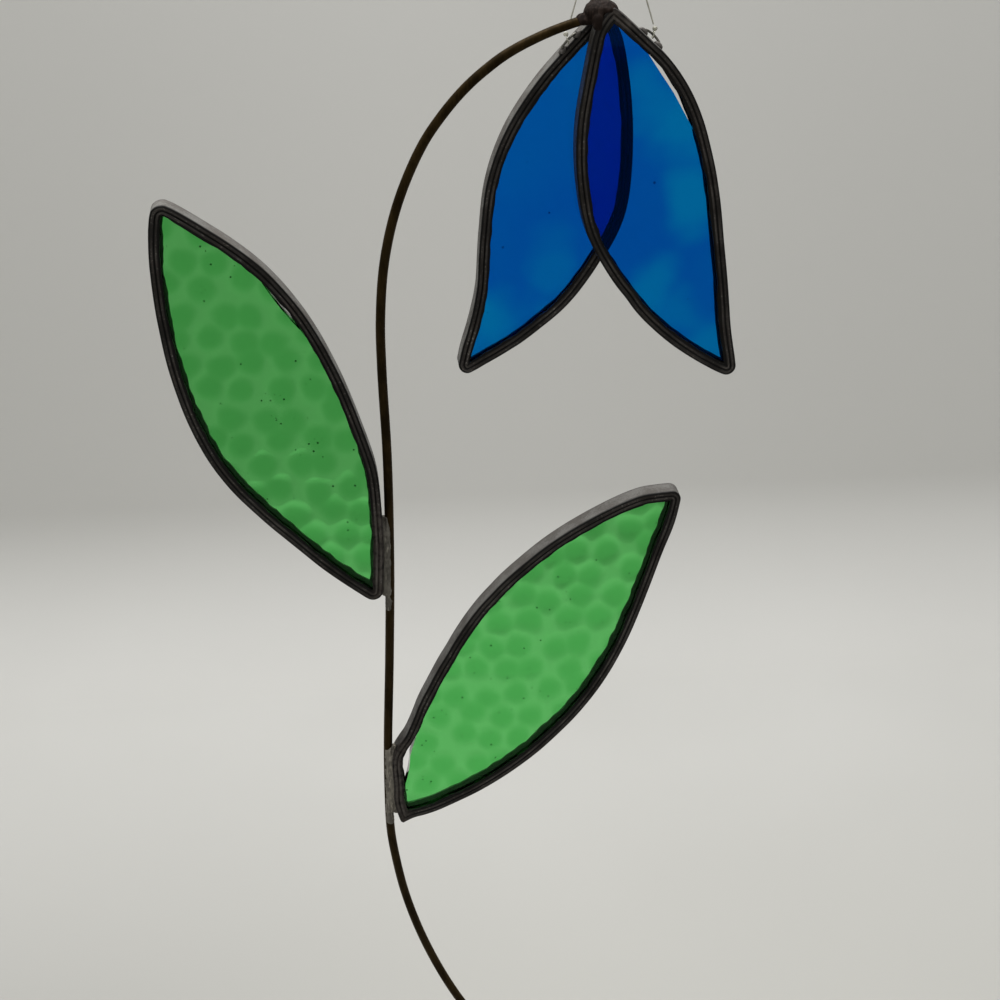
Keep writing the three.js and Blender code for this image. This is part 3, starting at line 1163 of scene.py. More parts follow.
@dataclass(frozen=True)
class Nudge:
    """A small bend: a place and a move, as x and z, how far it reaches, and what it bends."""

    place: tuple[float, float]
    move: tuple[float, float]
    reach: float
    into: Pressed = Pressed.BOTH

    def moved(self, outline: Sequence[Vector]) -> list[Vector]:
        """Presses the bend into an outline.

        Args:
            outline: The outline's points.

        Returns:
            The bent points.
        """
        middle, move = Vector(self.place) * MM, Vector(self.move) * MM
        shares = [max(0.0, 1.0 - ((point - middle).length / (self.reach * MM)) ** 2)
                  for point in outline]
        return [point + move * share for point, share in zip(outline, shares)]


@dataclass
class LeadStrip(Piece):
    """The strip round a pane, swept along the outline of its node, in millimetres.

    Its web is paler with painted light, most where it faces up, and its back lip's upper edge has a
    painted highlight. The dents of its edges and the waver of its lips are soft noises, each read
    along its own row.
    """

    section: StripSection
    web_light: float = 1.0
    tinned: TinnedRun | None = None
    nudges: tuple[Nudge, ...] = ()
    fineness: int = 3
    waver: float = 0.24
    back_waver: float = 0.45
    waver_length: float = 2.4
    waver_row: float = 0.02
    dent: float = 0.07
    dent_length: float = 6.0
    dent_row: float = 0.01
    side_dent: float = 0.2
    least_web_light: float = 0.3
    web_light_start: float = 0.25
    flank_start: float = 0.6
    lip_highlight: float = 0.8

    def build(self) -> bmesh.types.BMesh:
        """Sweeps the section round the pane.

        Returns:
            The closed strip, with its measures on its vertices.
        """
        section = self.section
        low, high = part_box(self.node)
        middle = (low.y + high.y) / 2
        coarse, sight = strip_outlines(self.node)
        for nudge in self.nudges:
            coarse, sight = nudge.moved(coarse), nudge.moved(sight)
        outer = flowing(coarse, self.fineness)
        inner = [self.nearest(sight, point) for point in outer]
        lengths = self.lengths(outer)
        tree = KDTree(len(outer))
        for index, point in enumerate(outer):
            tree.insert(point.to_3d(), index)
        tree.balance()

        shape = bmesh.new()
        measures = ("along", "across", "web", "ridge", "tin")
        layer = {name: shape.verts.layers.float.new(name) for name in measures}
        number = shape.verts.layers.int.new("number")

        def place(vert: bmesh.types.BMVert, station: Station, across: float) -> None:
            """Puts a vertex in its place on the strip, and gives it its measures.

            Args:
                vert: The vertex, which holds its number on the outline.
                station: Its station of the section.
                across: How far round the section that lies.
            """
            inset, out, ridged = station
            index = vert[number]
            side = -1 if out < 0 else 1
            further = section.back_reach if out > 0 and inset > section.corner else 0.0
            share = inset * (1 + further / section.face) / section.face
            spot = outer[index].lerp(inner[index], share)
            depth = out * MM
            ridge = 0.0
            if ridged:
                true_inset = self.distance(outer, tree, spot) / MM
                depth -= side * section.dip(true_inset) * MM
                # The crest measure marks where the painted highlight of a ridge's crest goes.
                ridge = section.crest_highlight(true_inset)
            dents = Vector((spot.x, side * self.dent_row, spot.y)) / (self.dent_length * MM)
            inward = (inner[index] - outer[index]).normalized()
            if inset < section.corner:
                spot += inward * (0.5 + 0.5 * noise.noise(dents)) * self.dent * MM
                depth -= side * self.side_dent * self.dent * MM
            elif inset > section.face - section.lip:
                waves = Vector((spot.x, side * self.waver_row, spot.y)) / (self.waver_length * MM)
                waver = self.waver if out < 0 else self.back_waver
                spot += inward * noise.noise(waves) * waver * MM
            vert.co = Vector((spot.x, middle + depth, spot.y))
            # The web measure is partly the edge's own dull grey and partly painted light, brighter
            # where the web faces up; the back lip's upper edge gets a painted highlight.
            web = 0.0
            if inset == 0.0:
                upward = min(max(self.web_light_start - inward.y, 0.0), 1.0)
                flank = (section.depth / 2 - abs(out)) / section.corner - self.flank_start
                web = self.web_light * (self.least_web_light + (1 - self.least_web_light) * upward)
                web *= min(max(flank, 0.0), 1.0)
            elif out > 0 and inset == section.face:
                web = self.lip_highlight * max(inward.y, 0.0)
            tin = self.tinned.share(spot) if self.tinned else 0.0
            for name, value in zip(measures, (lengths[index] / MM, across, web, ridge, tin)):
                vert[layer[name]] = value

        stations = section.whole()
        ring = bmesh.ops.create_circle(shape, segments=len(outer), radius=1.0)["verts"]
        for index, vert in enumerate(ring):
            vert[number] = index
        edges = list(dict.fromkeys(edge for vert in ring for edge in vert.link_edges))
        across = 0.0
        for vert in ring:
            place(vert, stations[0], across)
        for before, station in zip(stations, stations[1:]):
            across += math.hypot(station[0] - before[0], station[1] - before[1])
            grown = bmesh.ops.extrude_edge_only(shape, edges=edges)["geom"]
            edges = [item for item in grown if isinstance(item, bmesh.types.BMEdge)]
            for vert in (item for item in grown if isinstance(item, bmesh.types.BMVert)):
                place(vert, station, across)
        bmesh.ops.remove_doubles(shape, verts=shape.verts, dist=MERGE)
        bmesh.ops.recalc_face_normals(shape, faces=shape.faces)
        return shape

    @staticmethod
    def nearest(outline: Sequence[Vector], point: Vector) -> Vector:
        """Finds the place on a closed outline that is nearest a point.

        Args:
            outline: The outline's points.
            point: The point.

        Returns:
            The place.
        """
        best = outline[0]
        for a, b in zip(outline, [*outline[1:], outline[0]]):
            found, share = geometry.intersect_point_line(point, a, b)
            spot = a.lerp(b, min(max(share, 0.0), 1.0))
            if (spot - point).length < (best - point).length:
                best = spot
        return best

    @staticmethod
    def distance(outline: Sequence[Vector], tree: KDTree, point: Vector) -> float:
        """How far a point lies from an outline.

        Args:
            outline: The outline's points.
            tree: The same points, for a quick search.
            point: The point.

        Returns:
            The distance in metres.
        """
        index = tree.find(point.to_3d())[1]
        near = [outline[(index + step) % len(outline)] for step in (-1, 0, 1)]
        return min((LeadStrip.nearest([a, b], point) - point).length
                   for a, b in zip(near, near[1:]))

    @staticmethod
    def lengths(outline: Sequence[Vector]) -> list[float]:
        """How far along an outline each of its points lies.

        Args:
            outline: The outline's points.

        Returns:
            The lengths in metres.
        """
        total = [0.0]
        for a, b in zip(outline, outline[1:]):
            total.append(total[-1] + (b - a).length)
        return total


@dataclass
class PaneRelief:
    """What a pane's back is like, in millimetres: its grid's cell, and its height at x and z."""

    cell: float
    height: Callable[[float, float], float]
    full: float


@dataclass
class Domes:
    """Shallow round domes in rough rows, as rolled hammered glass has, in millimetres."""

    pitch: float = 6.9
    row_angle: float = 60.0
    stray: float = 1.5
    reach: float = 3.95
    depth: float = 0.22
    uneven: float = 0.3
    steep: float = 2.6
    seed: int = 5
    tree: KDTree = field(init=False)

    def __post_init__(self) -> None:
        """Sets out the domes' middles over the whole object."""
        low, high = CAD_BOX
        chance = random.Random(self.seed)
        spots = []
        row = 0
        z = low.z / MM
        while z < high.z / MM:
            x = low.x / MM + (self.pitch / 2 if row % 2 else 0.0)
            while x < high.x / MM:
                spots.append((x + chance.uniform(-self.stray, self.stray),
                              z + chance.uniform(-self.stray, self.stray)))
                x += self.pitch
            z += self.pitch * math.sin(math.radians(self.row_angle))
            row += 1
        self.tree = KDTree(len(spots))
        for index, (x, z) in enumerate(spots):
            self.tree.insert((x, 0.0, z), index)
        self.tree.balance()

    def fall(self, x: float, z: float) -> float:
        """How far the glass has fallen from its dome's top.

        Args:
            x: The place across the object.
            z: The place up it.

        Returns:
            0 on the top, and up to 1 at the crease.
        """
        uneven = 1.0 + self.uneven * noise.noise(Vector((x, 0.0, z)) / self.reach)
        off = self.tree.find((x, 0.0, z))[2] / self.reach * uneven
        return min(off, 1.0) ** self.steep

    def height(self, x: float, z: float) -> float:
        """How far the glass lies from the domes' tops at a place, which is down: below 0."""
        return -self.depth * self.fall(x, z)


@dataclass
class Waves:
    """The slow waves of drawn sheet glass, in millimetres."""

    length: float = 16.0
    depth: float = 0.12

    def height(self, x: float, z: float) -> float:
        """How far the glass lies from its highest place at a place, which is down: below 0."""
        wave = noise.noise(Vector((x, 0.0, z)) / self.length)
        return self.depth * (0.5 * wave - 0.5)


@dataclass
class GlassPane(Piece):
    """A pane of glass cut to its node's outline, smooth in front and uneven at its back."""

    relief: PaneRelief
    nudges: tuple[Nudge, ...] = ()
    snap: float = 0.02
    edge_on: float = 0.5

    def build(self) -> bmesh.types.BMesh:
        """Cuts the node's back into a fine grid, gives it thickness and works it.

        Returns:
            The closed pane. Its vertices hold their share of the relief's height and whether
            they are on the smooth front, and its faces hold whether they are cut edges.
        """
        low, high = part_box(self.node)
        shape = flat_faced_copy(self.node)
        kept = max((face for face in shape.faces
                    if abs(face.calc_center_median().y - high.y) < MERGE),
                   key=lambda face: face.calc_area())
        bmesh.ops.delete(shape, geom=[face for face in shape.faces if face is not kept],
                         context="FACES")
        for axis, first, last in (((1, 0, 0), low.x, high.x), ((0, 0, 1), low.z, high.z)):
            count = int((last - first) / (self.relief.cell * MM))
            for step in range(1, count):
                at = Vector(axis) * (first + (last - first) * step / count)
                bmesh.ops.bisect_plane(shape, geom=[*shape.verts, *shape.edges, *shape.faces],
                                       plane_co=at, plane_no=axis, dist=self.snap * MM)
        rim = {vert for vert in shape.verts if vert.is_boundary}
        dome = shape.verts.layers.float.new("dome")
        smooth_side = shape.verts.layers.float.new("smooth_side")
        grown = bmesh.ops.extrude_face_region(shape, geom=list(shape.faces))["geom"]
        front = [item for item in grown if isinstance(item, bmesh.types.BMVert)]
        bmesh.ops.translate(shape, verts=front, vec=(0, low.y - high.y, 0))
        for vert in shape.verts:
            height = self.relief.height(vert.co.x / MM, vert.co.z / MM)
            back = abs(vert.co.y - high.y) < MERGE
            vert[dome] = 1.0 + height / self.relief.full
            vert[smooth_side] = 0.0 if back else 1.0
            if back and vert not in rim:
                vert.co.y += height * MM
            for nudge in self.nudges:
                bent, = nudge.moved([Vector((vert.co.x, vert.co.z))])
                vert.co.x, vert.co.z = bent
        bmesh.ops.recalc_face_normals(shape, faces=shape.faces)
        shape.normal_update()
        cut = shape.faces.layers.float.new("cut_edge")
        for face in shape.faces:
            face[cut] = 1.0 if abs(face.normal.y) < self.edge_on else 0.0
        return shape


@dataclass
class FramedPane:
    """A petal or leaf: its glass and the lead strip round it."""

    node: str
    glass_finish: bpy.types.Material
    glass_slot: Slot
    relief: PaneRelief
    lead: bpy.types.Material
    web_light: float = 1.0
    tinned: TinnedRun | None = None
    nudges: tuple[Nudge, ...] = ()
    back_reach: float = 0.3
    back_waver: float = 0.45

    def make(self) -> None:
        """Makes the glass and the strip."""
        in_glass = tuple(nudge for nudge in self.nudges if nudge.into is not Pressed.STRIP)
        in_strip = tuple(nudge for nudge in self.nudges if nudge.into is not Pressed.GLASS)
        glass = GlassPane(f"{self.node}_glass", f"{self.node}_cut_glass", self.relief, in_glass)
        glass.make(self.glass_finish, self.glass_slot, sharp=50)
        strip = LeadStrip(f"{self.node}_came", f"{self.node}_reeded_strip",
                          StripSection(back_reach=self.back_reach), self.web_light, self.tinned,
                          nudges=in_strip, back_waver=self.back_waver)
        strip.make(self.lead, Slot.LEAD, sharp=60)


# The stem, its solder and the wire loops


@dataclass
class RoundBar(Piece):
    """A rod or wire bent along its node's middle, with softly rounded ends, in millimetres."""

    sides: int = 24
    fineness: int = 3
    cap_angle: float = 60.0
    end_round: float = 0.3
    end_steps: int = 3
    fullness: float = 1.0
    neck: float = 1.0
    neck_length: float = 9.0

    def radius_share(self, middle: Vector, top: Vector) -> float:
        """How much of its full radius the bar has at a place: its neck's share near its top end.

        Args:
            middle: The place.
            top: The bar's higher end.

        Returns:
            The share, from the neck's to 1.
        """
        onward = (middle - top).length / (self.neck_length * MM) - 1.0
        return self.neck + (1.0 - self.neck) * min(max(onward, 0.0), 1.0)

    def build(self) -> bmesh.types.BMesh:
        """Sweeps a circle along the node's middle.

        Returns:
            The closed bar.
        """
        found = rings(self.node)
        radius = self.fullness * sum(ring[1] for ring in found) / len(found)
        curve = bpy.data.curves.new(self.name, "CURVE")
        curve.dimensions = "3D"
        curve.bevel_depth = radius
        curve.bevel_resolution = self.sides // 4
        curve.use_fill_caps = True
        spline = curve.splines.new("BEZIER")
        spline.bezier_points.add(len(found) - 1)
        spline.resolution_u = self.fineness
        top = max((found[0][0], found[-1][0]), key=lambda end: end.z)
        for handle, (middle, _) in zip(spline.bezier_points, found):
            handle.co = middle
            handle.radius = self.radius_share(middle, top)
            handle.handle_left_type = handle.handle_right_type = "AUTO"
        holder = bpy.data.objects.new(self.name, curve)
        shape = bmesh.new()
        shape.from_mesh(holder.to_mesh())
        holder.to_mesh_clear()
        bpy.data.objects.remove(holder)
        bmesh.ops.remove_doubles(shape, verts=shape.verts, dist=MERGE)
        sharp = math.radians(self.cap_angle)
        caps = [edge for edge in shape.edges if edge.calc_face_angle(0.0) > sharp]
        bmesh.ops.bevel(shape, geom=caps, offset=self.end_round * radius,
                        segments=self.end_steps, profile=0.5, affect="EDGES", material=-1)
        bmesh.ops.recalc_face_normals(shape, faces=shape.faces)
        return shape


@dataclass(frozen=True)
class Blob:
    """A drop of solder before it runs into others: its middle and reach, in millimetres."""

    middle: tuple[float, float, float]
    reach: tuple[float, float, float]

    def add(self, shape: bmesh.types.BMesh) -> None:
        """Adds the drop to a mesh.

        Args:
            shape: The mesh.
        """
        drop = bmesh.ops.create_icosphere(shape, subdivisions=3, radius=1.0)["verts"]
        bmesh.ops.scale(shape, verts=drop, vec=mm(*self.reach))
        bmesh.ops.translate(shape, verts=drop, vec=mm(*self.middle))


@dataclass(kw_only=True)
class SmoothLump(Piece):
    """A piece that is its node in one smooth, slightly rough skin, in millimetres."""

    voxel: float
    rounds: int
    grain: float
    rough: float

    def skin(self, shape: bmesh.types.BMesh) -> bmesh.types.BMesh:
        """Wraps closed forms in one skin.

        Args:
            shape: The forms; it is freed.

        Returns:
            The skin.
        """
        skin = remeshed(shape, self.voxel, self.rounds)
        roughened(skin, self.grain, self.rough)
        return skin

    def build(self) -> bmesh.types.BMesh:
        """Wraps the node, and keeps its size.

        Returns:
            The skin.
        """
        skin = self.skin(merged_copy(self.node))
        fitted(skin, self.node)
        return skin


@dataclass(kw_only=True)
class SolderBead(SmoothLump):
    """A small bead of solder that wets a wire's foot, in millimetres."""

    voxel: float = 0.07
    rounds: int = 3
    grain: float = 1.6
    rough: float = 0.05


@dataclass(kw_only=True)
class MeltedDrops(SmoothLump):
    """Drops of solder run together, in millimetres."""

    def drops(self) -> Iterator[Blob]:
        """The drops, none until a piece has its own."""
        return iter(())

    def build(self) -> bmesh.types.BMesh:
        """Melts the drops into one skin.

        Returns:
            The skin.
        """
        shape = bmesh.new()
        for drop in self.drops():
            drop.add(shape)
        return self.skin(shape)


@dataclass(kw_only=True)
class TopJoint(MeltedDrops):
    """The solder that wets the rod's end and the tips of both petals' strips, in millimetres."""

    blobs: tuple[Blob, ...] = (
        Blob((-5.0, -2.5, -26.5), (1.9, 1.35, 1.3)), Blob((-2.7, -1.7, -25.1), (2.6, 3.1, 2.0)),
        Blob((-0.5, -2.3, -24.4), (1.9, 2.8, 1.5)), Blob((-1.3, 2.2, -25.2), (2.2, 2.6, 1.6)),
        Blob((-2.1, -0.6, -24.0), (1.9, 2.5, 1.5)), Blob((-2.8, -4.2, -26.5), (1.2, 1.3, 1.8)))
    voxel: float = 0.16
    rounds: int = 7
    grain: float = 1.5
    rough: float = 0.28

    def drops(self) -> Iterator[Blob]:
        """The joint's drops."""
        return iter(self.blobs)


@dataclass(kw_only=True)
class SolderSeam(MeltedDrops):
    """A seam run down between a strip and the rod, with a tongue on the rod, in millimetres.

    A row of drops fills the gap, a second one wets the rod beside it, and a third one coats the
    rod below, where the tongue is. Each kind has its reach across, out and down, and its lift,
    which is how far its middle stands out from the middle plane.
    """

    strip: str
    face: Face
    top: float
    bottom: float
    tongue: float
    coat: float = 0.0
    tongue_lean: float = 0.2
    tongue_reach: float = 0.88
    tongue_start: float = 0.88
    tongue_lift: float = 0.26
    tongue_down: float = 1.1
    rod_clear: float = 0.95
    gap_drop: tuple[float, float, float] = (0.5, 0.95, 1.3)
    gap_lift: float = 0.85
    rod_drop: tuple[float, float, float] = (0.75, 1.05, 1.25)
    rod_lift: float = 0.75
    rod_aside: float = 0.55
    stray: tuple[float, float] = (0.04, 0.08)
    seed: int = 1
    step: float = 0.9
    fade: float = 4.5
    fade_start: float = 0.4
    straight_rod: tuple[float, float] = (-47.0, 4.0)
    voxel: float = 0.14
    rounds: int = 5
    grain: float = 1.2
    rough: float = 0.15

    def rod_middle(self, z: float) -> float:
        """Where the rod's middle is at a height, on its straight run beside the leaves.

        Args:
            z: The height.

        Returns:
            The place, as x.
        """
        found = rings("stem_rod")
        middle, near = self.straight_rod
        for (a, _), (b, _) in zip(found, found[1:]):
            if min(a.z, b.z) <= z * MM <= max(a.z, b.z) and abs(a.x / MM - middle) < near:
                return a.lerp(b, (z * MM - a.z) / (b.z - a.z)).x / MM
        return found[0][0].x / MM

    def strip_edge(self, z: float, rod: float) -> float:
        """Where the strip's outer edge is nearest the rod at a height.

        Args:
            z: The height.
            rod: The rod's middle there, as x.

        Returns:
            The place, as x.
        """
        outer = strip_outlines(self.strip)[0]
        crossed = [a.lerp(b, (z * MM - a.y) / (b.y - a.y)).x / MM
                   for a, b in zip(outer, outer[1:] + outer[:1])
                   if (a.y - z * MM) * (b.y - z * MM) < 0]
        return min(crossed, key=lambda x: abs(x - rod), default=rod)

    def drops(self) -> Iterator[Blob]:
        """The drops of the seam from its top down, fading in over its first few millimetres.

        Returns:
            The drops, one after the other.
        """
        chance = random.Random(self.seed)
        face = self.face.value
        z = self.top
        side = 1 if self.strip_edge(z, self.rod_middle(z)) > self.rod_middle(z) else -1
        while z > self.tongue:
            rod = self.rod_middle(z)
            full = min(1.0, self.fade_start + (self.top - z) / self.fade)
            if z > self.bottom:
                edge = self.strip_edge(z, rod)
                gap = abs(edge - rod) - self.rod_clear
                across, out, down = self.gap_drop
                yield Blob((edge - side * gap / 2, face * self.gap_lift * full, z),
                           (gap / 2 + across, out * full, down))
                aside, fuller = (chance.uniform(-reach, reach) for reach in self.stray)
                across, out, down = self.rod_drop
                yield Blob((rod + side * (self.rod_aside - self.coat) + aside,
                            face * self.rod_lift * full, z),
                           ((across + self.coat) * full, out + fuller, down))
            if self.coat or z < self.bottom + self.step:
                reach = self.tongue_reach * (self.tongue_start + (1 - self.tongue_start) * full)
                yield Blob((rod + side * self.tongue_lean, face * self.tongue_lift, z),
                           (reach, reach, self.tongue_down))
            z -= self.step


# The hanging line


@dataclass
class HangingLine:
    """The clear line from one wire loop up over the hook and down to the other, in millimetres."""

    route: tuple[tuple[float, float], ...] = (
        (-8.1, -28.9), (-5.5, -19.5), (-2.9, -10.2), (-1.42, -3.4), (-0.93, -1.12),
        (-0.59, -0.58), (0, -0.37), (0.59, -0.58), (0.92, -1.08), (1.52, -3.4), (3.3, -10.2),
        (6.2, -19.5), (9, -28.2))
    diameter: float = 0.3
    fineness: int = 8
    facets: int = 4

    def make(self, finish: bpy.types.Material) -> bpy.types.Object:
        """Lays the line along its route.

        Args:
            finish: The line's material.

        Returns:
            The line, as a curve.
        """
        curve = bpy.data.curves.new("clear_line", "CURVE")
        curve.dimensions = "3D"
        curve.bevel_depth = self.diameter / 2 * MM
        curve.bevel_resolution = self.facets
        curve.use_fill_caps = True
        spline = curve.splines.new("BEZIER")
        spline.bezier_points.add(len(self.route) - 1)
        spline.resolution_u = self.fineness
        for handle, (x, z) in zip(spline.bezier_points, self.route):
            handle.co = mm(x, 0, z)
            handle.handle_left_type = handle.handle_right_type = "AUTO"
        curve.materials.append(finish)
        line = bpy.data.objects.new("clear_line", curve)
        bpy.context.scene.collection.objects.link(line)
        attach(line, Body.LINE.value)
        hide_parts("hanging_line")
        return line

    def length(self) -> float:
        """The route's length in metres."""
        points = [mm(x, 0, z) for x, z in self.route]
        return sum((b - a).length for a, b in zip(points, points[1:]))

    def declare(self) -> None:
        """Works out the line's first point and its length, and keeps neither.
        """
        mm(self.route[0][0], 0, self.route[0][1])
        self.length()


@dataclass(kw_only=True)
class LineKnot(SmoothLump):
    """An eye of line round a wire loop, with its knot, in millimetres."""

    voxel: float = 0.06
    rounds: int = 3
    grain: float = 0.5
    rough: float = 0.05


# The studio


@dataclass
class Studio:
    """The camera, the pale sweep behind and below, and soft light from above, in millimetres."""

    focal_pixels: float = 1900.0
    eye: tuple[float, float, float] = (-60.8, -373.6, 51.9)
    aim: tuple[float, float, float] = (-21.5, 0.0, -131.3)
    sensor: float = 36.0
    floor: float = -820.0
    wall: float = 1165.0
    sweep: float = 125.0
    sweep_turns: int = 12
    half_width: float = 4000.0
    front: float = -3500.0
    wall_top: float = 1800.0
    room: Colour = colour(0.32, 0.32, 0.315)
    room_seen: Colour = colour(0.50, 0.50, 0.485)
    lamp_size: tuple[float, float] = (1800.0, 1400.0)
    lamp_watts: float = 52.0
    lamp_place: tuple[float, float, float] = (-150.0, 350.0, 1500.0)
    lamp_aim: tuple[float, float, float] = (0.0, 100.0, -300.0)

    def camera(self) -> None:
        """Sets the camera at the photograph's angle."""
        lens = bpy.data.cameras.new("camera")
        lens.sensor_width = self.sensor
        lens.lens = self.focal_pixels / FRAME_PIXELS * self.sensor
        lens.clip_start = 0.01
        holder = bpy.data.objects.new("camera", lens)
        bpy.context.scene.collection.objects.link(holder)
        holder.location = mm(*self.eye)
        holder.rotation_euler = (mm(*self.aim) - mm(*self.eye)).to_track_quat("-Z", "Y").to_euler()
        bpy.context.scene.camera = holder

    def backdrop(self, effects: Effects) -> None:
        """Makes the floor and the wall as one pale curved sheet.

        Args:
            effects: The shared node groups.
        """
        shape = bmesh.new()
        row = [(self.front, self.floor)]
        for step in range(self.sweep_turns + 1):
            angle = math.radians(90 * step / self.sweep_turns)
            row.append((self.wall - self.sweep * (1 - math.sin(angle)),
                        self.floor + self.sweep * (1 - math.cos(angle))))
        row.append((self.wall, self.wall_top))
        verts = [shape.verts.new(mm(-self.half_width, y, z)) for y, z in row]
        edges = [shape.edges.new(pair) for pair in zip(verts, verts[1:])]
        grown = bmesh.ops.extrude_edge_only(shape, edges=edges)["geom"]
        moved = [item for item in grown if isinstance(item, bmesh.types.BMVert)]
        bmesh.ops.translate(shape, verts=moved, vec=mm(2 * self.half_width, 0, 0))
        mesh = bpy.data.meshes.new("backdrop")
        shape.to_mesh(mesh)
        shape.free()
        mesh.shade_smooth()
        mesh.materials.append(PaleSheet().material(effects, self.floor, self.floor + self.sweep))
        backdrop = bpy.data.objects.new("backdrop", mesh)
        bpy.context.scene.collection.objects.link(backdrop)

    def light(self) -> None:
        """Sets an even room light and one broad lamp above."""
        scene = bpy.context.scene
        scene.view_settings.view_transform = "Standard"
        world = bpy.data.worlds.new("room")
        world.use_nodes = True
        nodes = Nodes(world.node_tree)
        rays = nodes.add("ShaderNodeLightPath").outputs
        seen = nodes.math("MAXIMUM", rays["Is Camera Ray"], rays["Is Glossy Ray"])
        seen = nodes.math("MAXIMUM", seen, rays["Is Transmission Ray"])
        shown = nodes.mix(seen, self.room, self.room_seen)
        nodes.put(world.node_tree.nodes["Background"], Color=shown)
        scene.world = world
        lamp = bpy.data.lights.new("soft_lamp", "AREA")
        lamp.shape = "RECTANGLE"
        lamp.size, lamp.size_y = mm(*self.lamp_size)
        lamp.energy = self.lamp_watts
        holder = bpy.data.objects.new("soft_lamp", lamp)
        scene.collection.objects.link(holder)
        holder.location = mm(*self.lamp_place)
        ahead = mm(*self.lamp_aim) - holder.location
        holder.rotation_euler = ahead.to_track_quat("-Z", "Y").to_euler()


# Putting it together

LEFT_PETAL_BENDS = (
    Nudge((-29.3, -92.0), (0.46, -0.08), 15), Nudge((-31.2, -100.0), (0.42, 0.18), 5),
    Nudge((-8.0, -87.0), (0.20, -0.19), 14))
RIGHT_PETAL_BENDS = (
    Nudge((14.5, -93.2), (-0.69, -0.79), 14), Nudge((16.0, -41.0), (0.49, 0.30), 13),
    Nudge((-4.4, -30.5), (0.40, -0.08), 14),
    Nudge((9.5, -35.5), (-0.26, -0.19), 5.5, Pressed.GLASS))
LEFT_LEAF_BENDS = (
    Nudge((-91.8, -59.5), (0.42, -1.05), 6), Nudge((-81.5, -122.0), (-0.29, -0.19), 10),
    Nudge((-57.0, -148.5), (-0.15, -0.17), 12), Nudge((-49.5, -116.0), (0.29, 0.08), 28),
    Nudge((-66.5, -82.5), (-0.40, -0.30), 8, Pressed.GLASS))
RIGHT_LEAF_BENDS = (
    Nudge((4.0, -174.0), (0.46, -0.19), 22), Nudge((-42.0, -212.5), (-0.20, -0.50), 10),
    Nudge((-20.0, -202.0), (0.12, -0.16), 14), Nudge((16.5, -129.5), (0.0, -0.35), 6),
    Nudge((-29.0, -161.0), (-0.25, 0.13), 9),
    Nudge((-43.6, -188.5), (0.5, -0.27), 6.5, Pressed.STRIP),
    Nudge((-45.3, -196.5), (-0.5, 0.0), 5.5, Pressed.STRIP),
    Nudge((-45.8, -209.0), (-0.5, -0.1), 5, Pressed.STRIP),
    Nudge((-45.2, -214.6), (0.1, -0.8), 2.8, Pressed.STRIP),
    Nudge((-45.3, -202.5), (-0.18, 0.0), 4.3, Pressed.STRIP),
    Nudge((-43.5, -201.0), (0.35, 0.05), 5, Pressed.GLASS))
LEFT_CLOUDS = (
    Streak(-22.7, -91.0, 15, 1.0), Streak(-10.5, -78.5, 10, 0.45), Streak(-21.5, -57.0, 7, 0.3),
    Streak(-5.5, -39.0, 8, 0.2))
RIGHT_CLOUDS = (
    Streak(10.5, -42.5, 10, 0.65), Streak(15.5, -48.0, 10, 0.8), Streak(16.8, -63.5, 9.5, 0.85),
    Streak(9.5, -83.0, 10, 0.75), Streak(16.5, -87.0, 10, 0.6), Streak(22.5, -95.0, 8, 0.75))


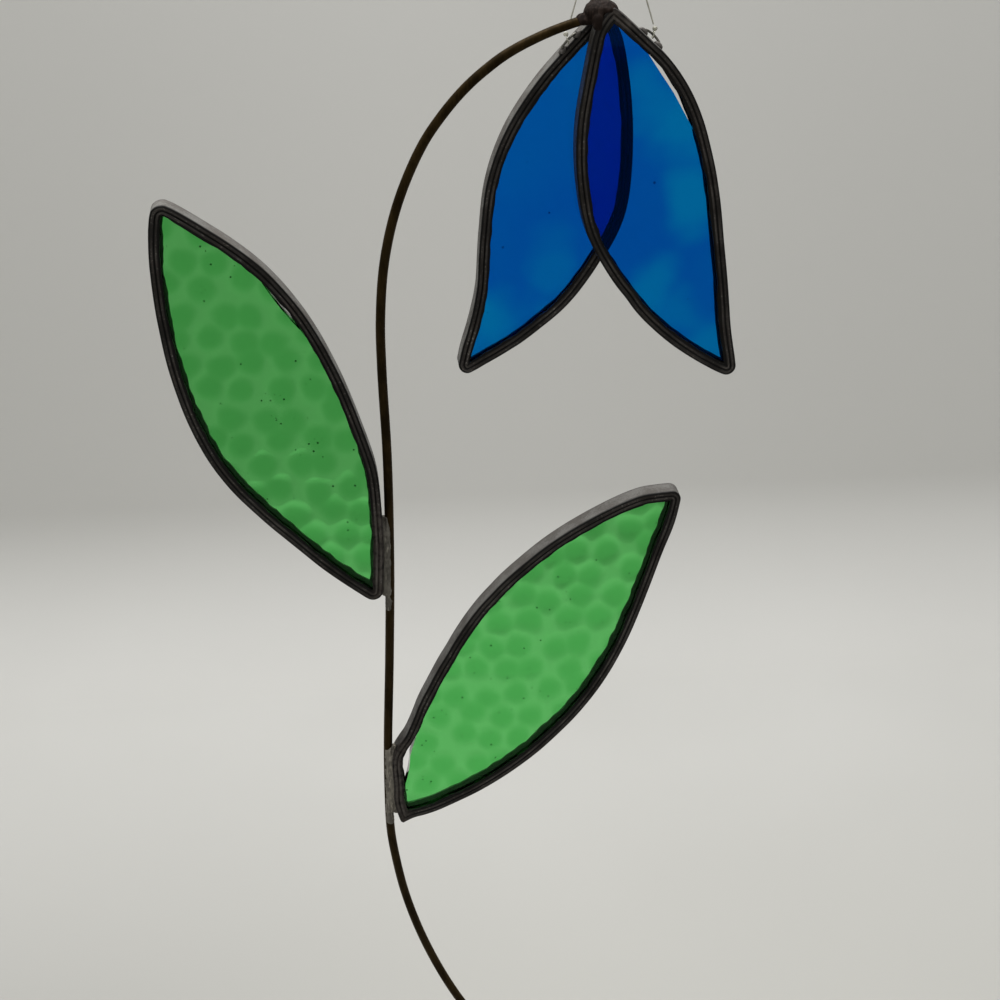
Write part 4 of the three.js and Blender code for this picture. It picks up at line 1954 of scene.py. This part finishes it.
def main() -> None:
    """Builds the suncatcher and the studio round it."""
    logging.basicConfig(level=logging.INFO, format="%(name)s %(message)s")
    studio = Studio()
    studio.camera()
    effects = Effects()

    line = HangingLine()
    clear = ClearLine().material(effects)
    cord = line.make(clear)
    knots = [LineKnot(f"line_knot_{side}", f"tied_eye_{side}").make(
        clear, Slot.LINE, Body.LINE, sharp=NEVER_SHARP) for side in ("left", "right")]
    line.declare()

    lead = BlackenedLead().material(effects)
    sheet = Waves()
    waves = PaneRelief(cell=2.0, height=sheet.height, full=sheet.depth)
    # A run of the tinned colours at the right petal's tip, painted there as a highlight.
    tip_highlight = TinnedRun((0.9, -25.4), (3.4, -27.0), 1.8)
    # The shine value is how much painted light each petal's web gets.
    for side, clouds, web_light, tinned, reach, bends in (
            ("left", LEFT_CLOUDS, 0.8, None, -0.4, LEFT_PETAL_BENDS),
            ("right", RIGHT_CLOUDS, 0.5, tip_highlight, 0.08, RIGHT_PETAL_BENDS)):
        low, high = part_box(f"petal_{side}_glass")
        glass = BlueGlass(f"Streaky blue glass {side}", (low.y + high.y) / 2 / MM, clouds)
        FramedPane(f"petal_{side}", glass.material(effects), Slot.BLUE, waves, lead, web_light,
                   tinned, bends, reach, back_waver=0.16).make()

    domes = Domes()
    hammered = PaneRelief(cell=0.55, height=domes.height, full=domes.depth)
    green = GreenGlass().material(effects)
    left_tin = TinnedRun((-47.9, -132.5), (-48.2, -153.0), 2.6)
    right_tin = TinnedRun((-45.9, -193.5), (-45.6, -212.5), 3.6)
    # The shine value is how much painted light each leaf's web gets.
    for side, web_light, tinned, bends in (("left", 0.8, left_tin, LEFT_LEAF_BENDS),
                                       ("right", 0.58, right_tin, RIGHT_LEAF_BENDS)):
        FramedPane(f"leaf_{side}", green, Slot.GREEN, hammered, lead, web_light, tinned, bends).make()

    stem = RoundBar("stem_rod", "bent_stem", fullness=1.06, neck=0.93)
    stem.make(BrownPatina().material(effects), Slot.STEM)
    solder = Solder("Blackened solder", 1.75, (1.0, 0.93, 0.78)).material(effects)
    pale_solder = Solder("Worn solder", 2.6, (1.0, 0.92, 0.76)).material(effects)
    foot_solder = Solder("Dull solder", 1.3).material(effects)
    # The top joint's solder has a low tone as painted shadow, with a brown cast.
    shadowed_solder = Solder("Solder in painted shadow", 0.22, (1.0, 0.68, 0.55), 0.04).material(effects)
    joint = TopJoint("top_joint_solder", "top_joint_lump")
    joint.make(shadowed_solder, Slot.SOLDER, sharp=NEVER_SHARP)
    for seed, face in enumerate(Face):
        word = face.name.lower()
        left = SolderSeam(f"leaf_left_solder_{word}", f"left_seam_{word}",
                          strip="leaf_left_came", face=face, top=-135.0, bottom=-152.2,
                          tongue=-157.2, seed=seed + 1)
        right = SolderSeam(f"leaf_right_solder_{word}", f"right_seam_{word}",
                           strip="leaf_right_came", face=face, top=-194.6, bottom=-211.6,
                           tongue=-215.2, coat=0.08, tongue_lean=0.08, tongue_reach=0.96,
                           seed=seed + 3)
        left.make(solder, Slot.SOLDER, sharp=NEVER_SHARP)
        right.make(pale_solder, Slot.SOLDER, sharp=NEVER_SHARP)
    wire = TinnedWire().material(effects)
    for side in ("left", "right"):
        loop = RoundBar(f"hang_loop_{side}", f"wire_loop_{side}", sides=12)
        loop.make(wire, Slot.WIRE)
        for end in ("upper", "lower"):
            bead = SolderBead(f"hang_loop_{side}_bead_{end}", f"wire_foot_{side}_{end}")
            bead.make(foot_solder, Slot.SOLDER, sharp=NEVER_SHARP)

    studio.backdrop(effects)
    studio.light()


if __name__ == "__main__":
    main()
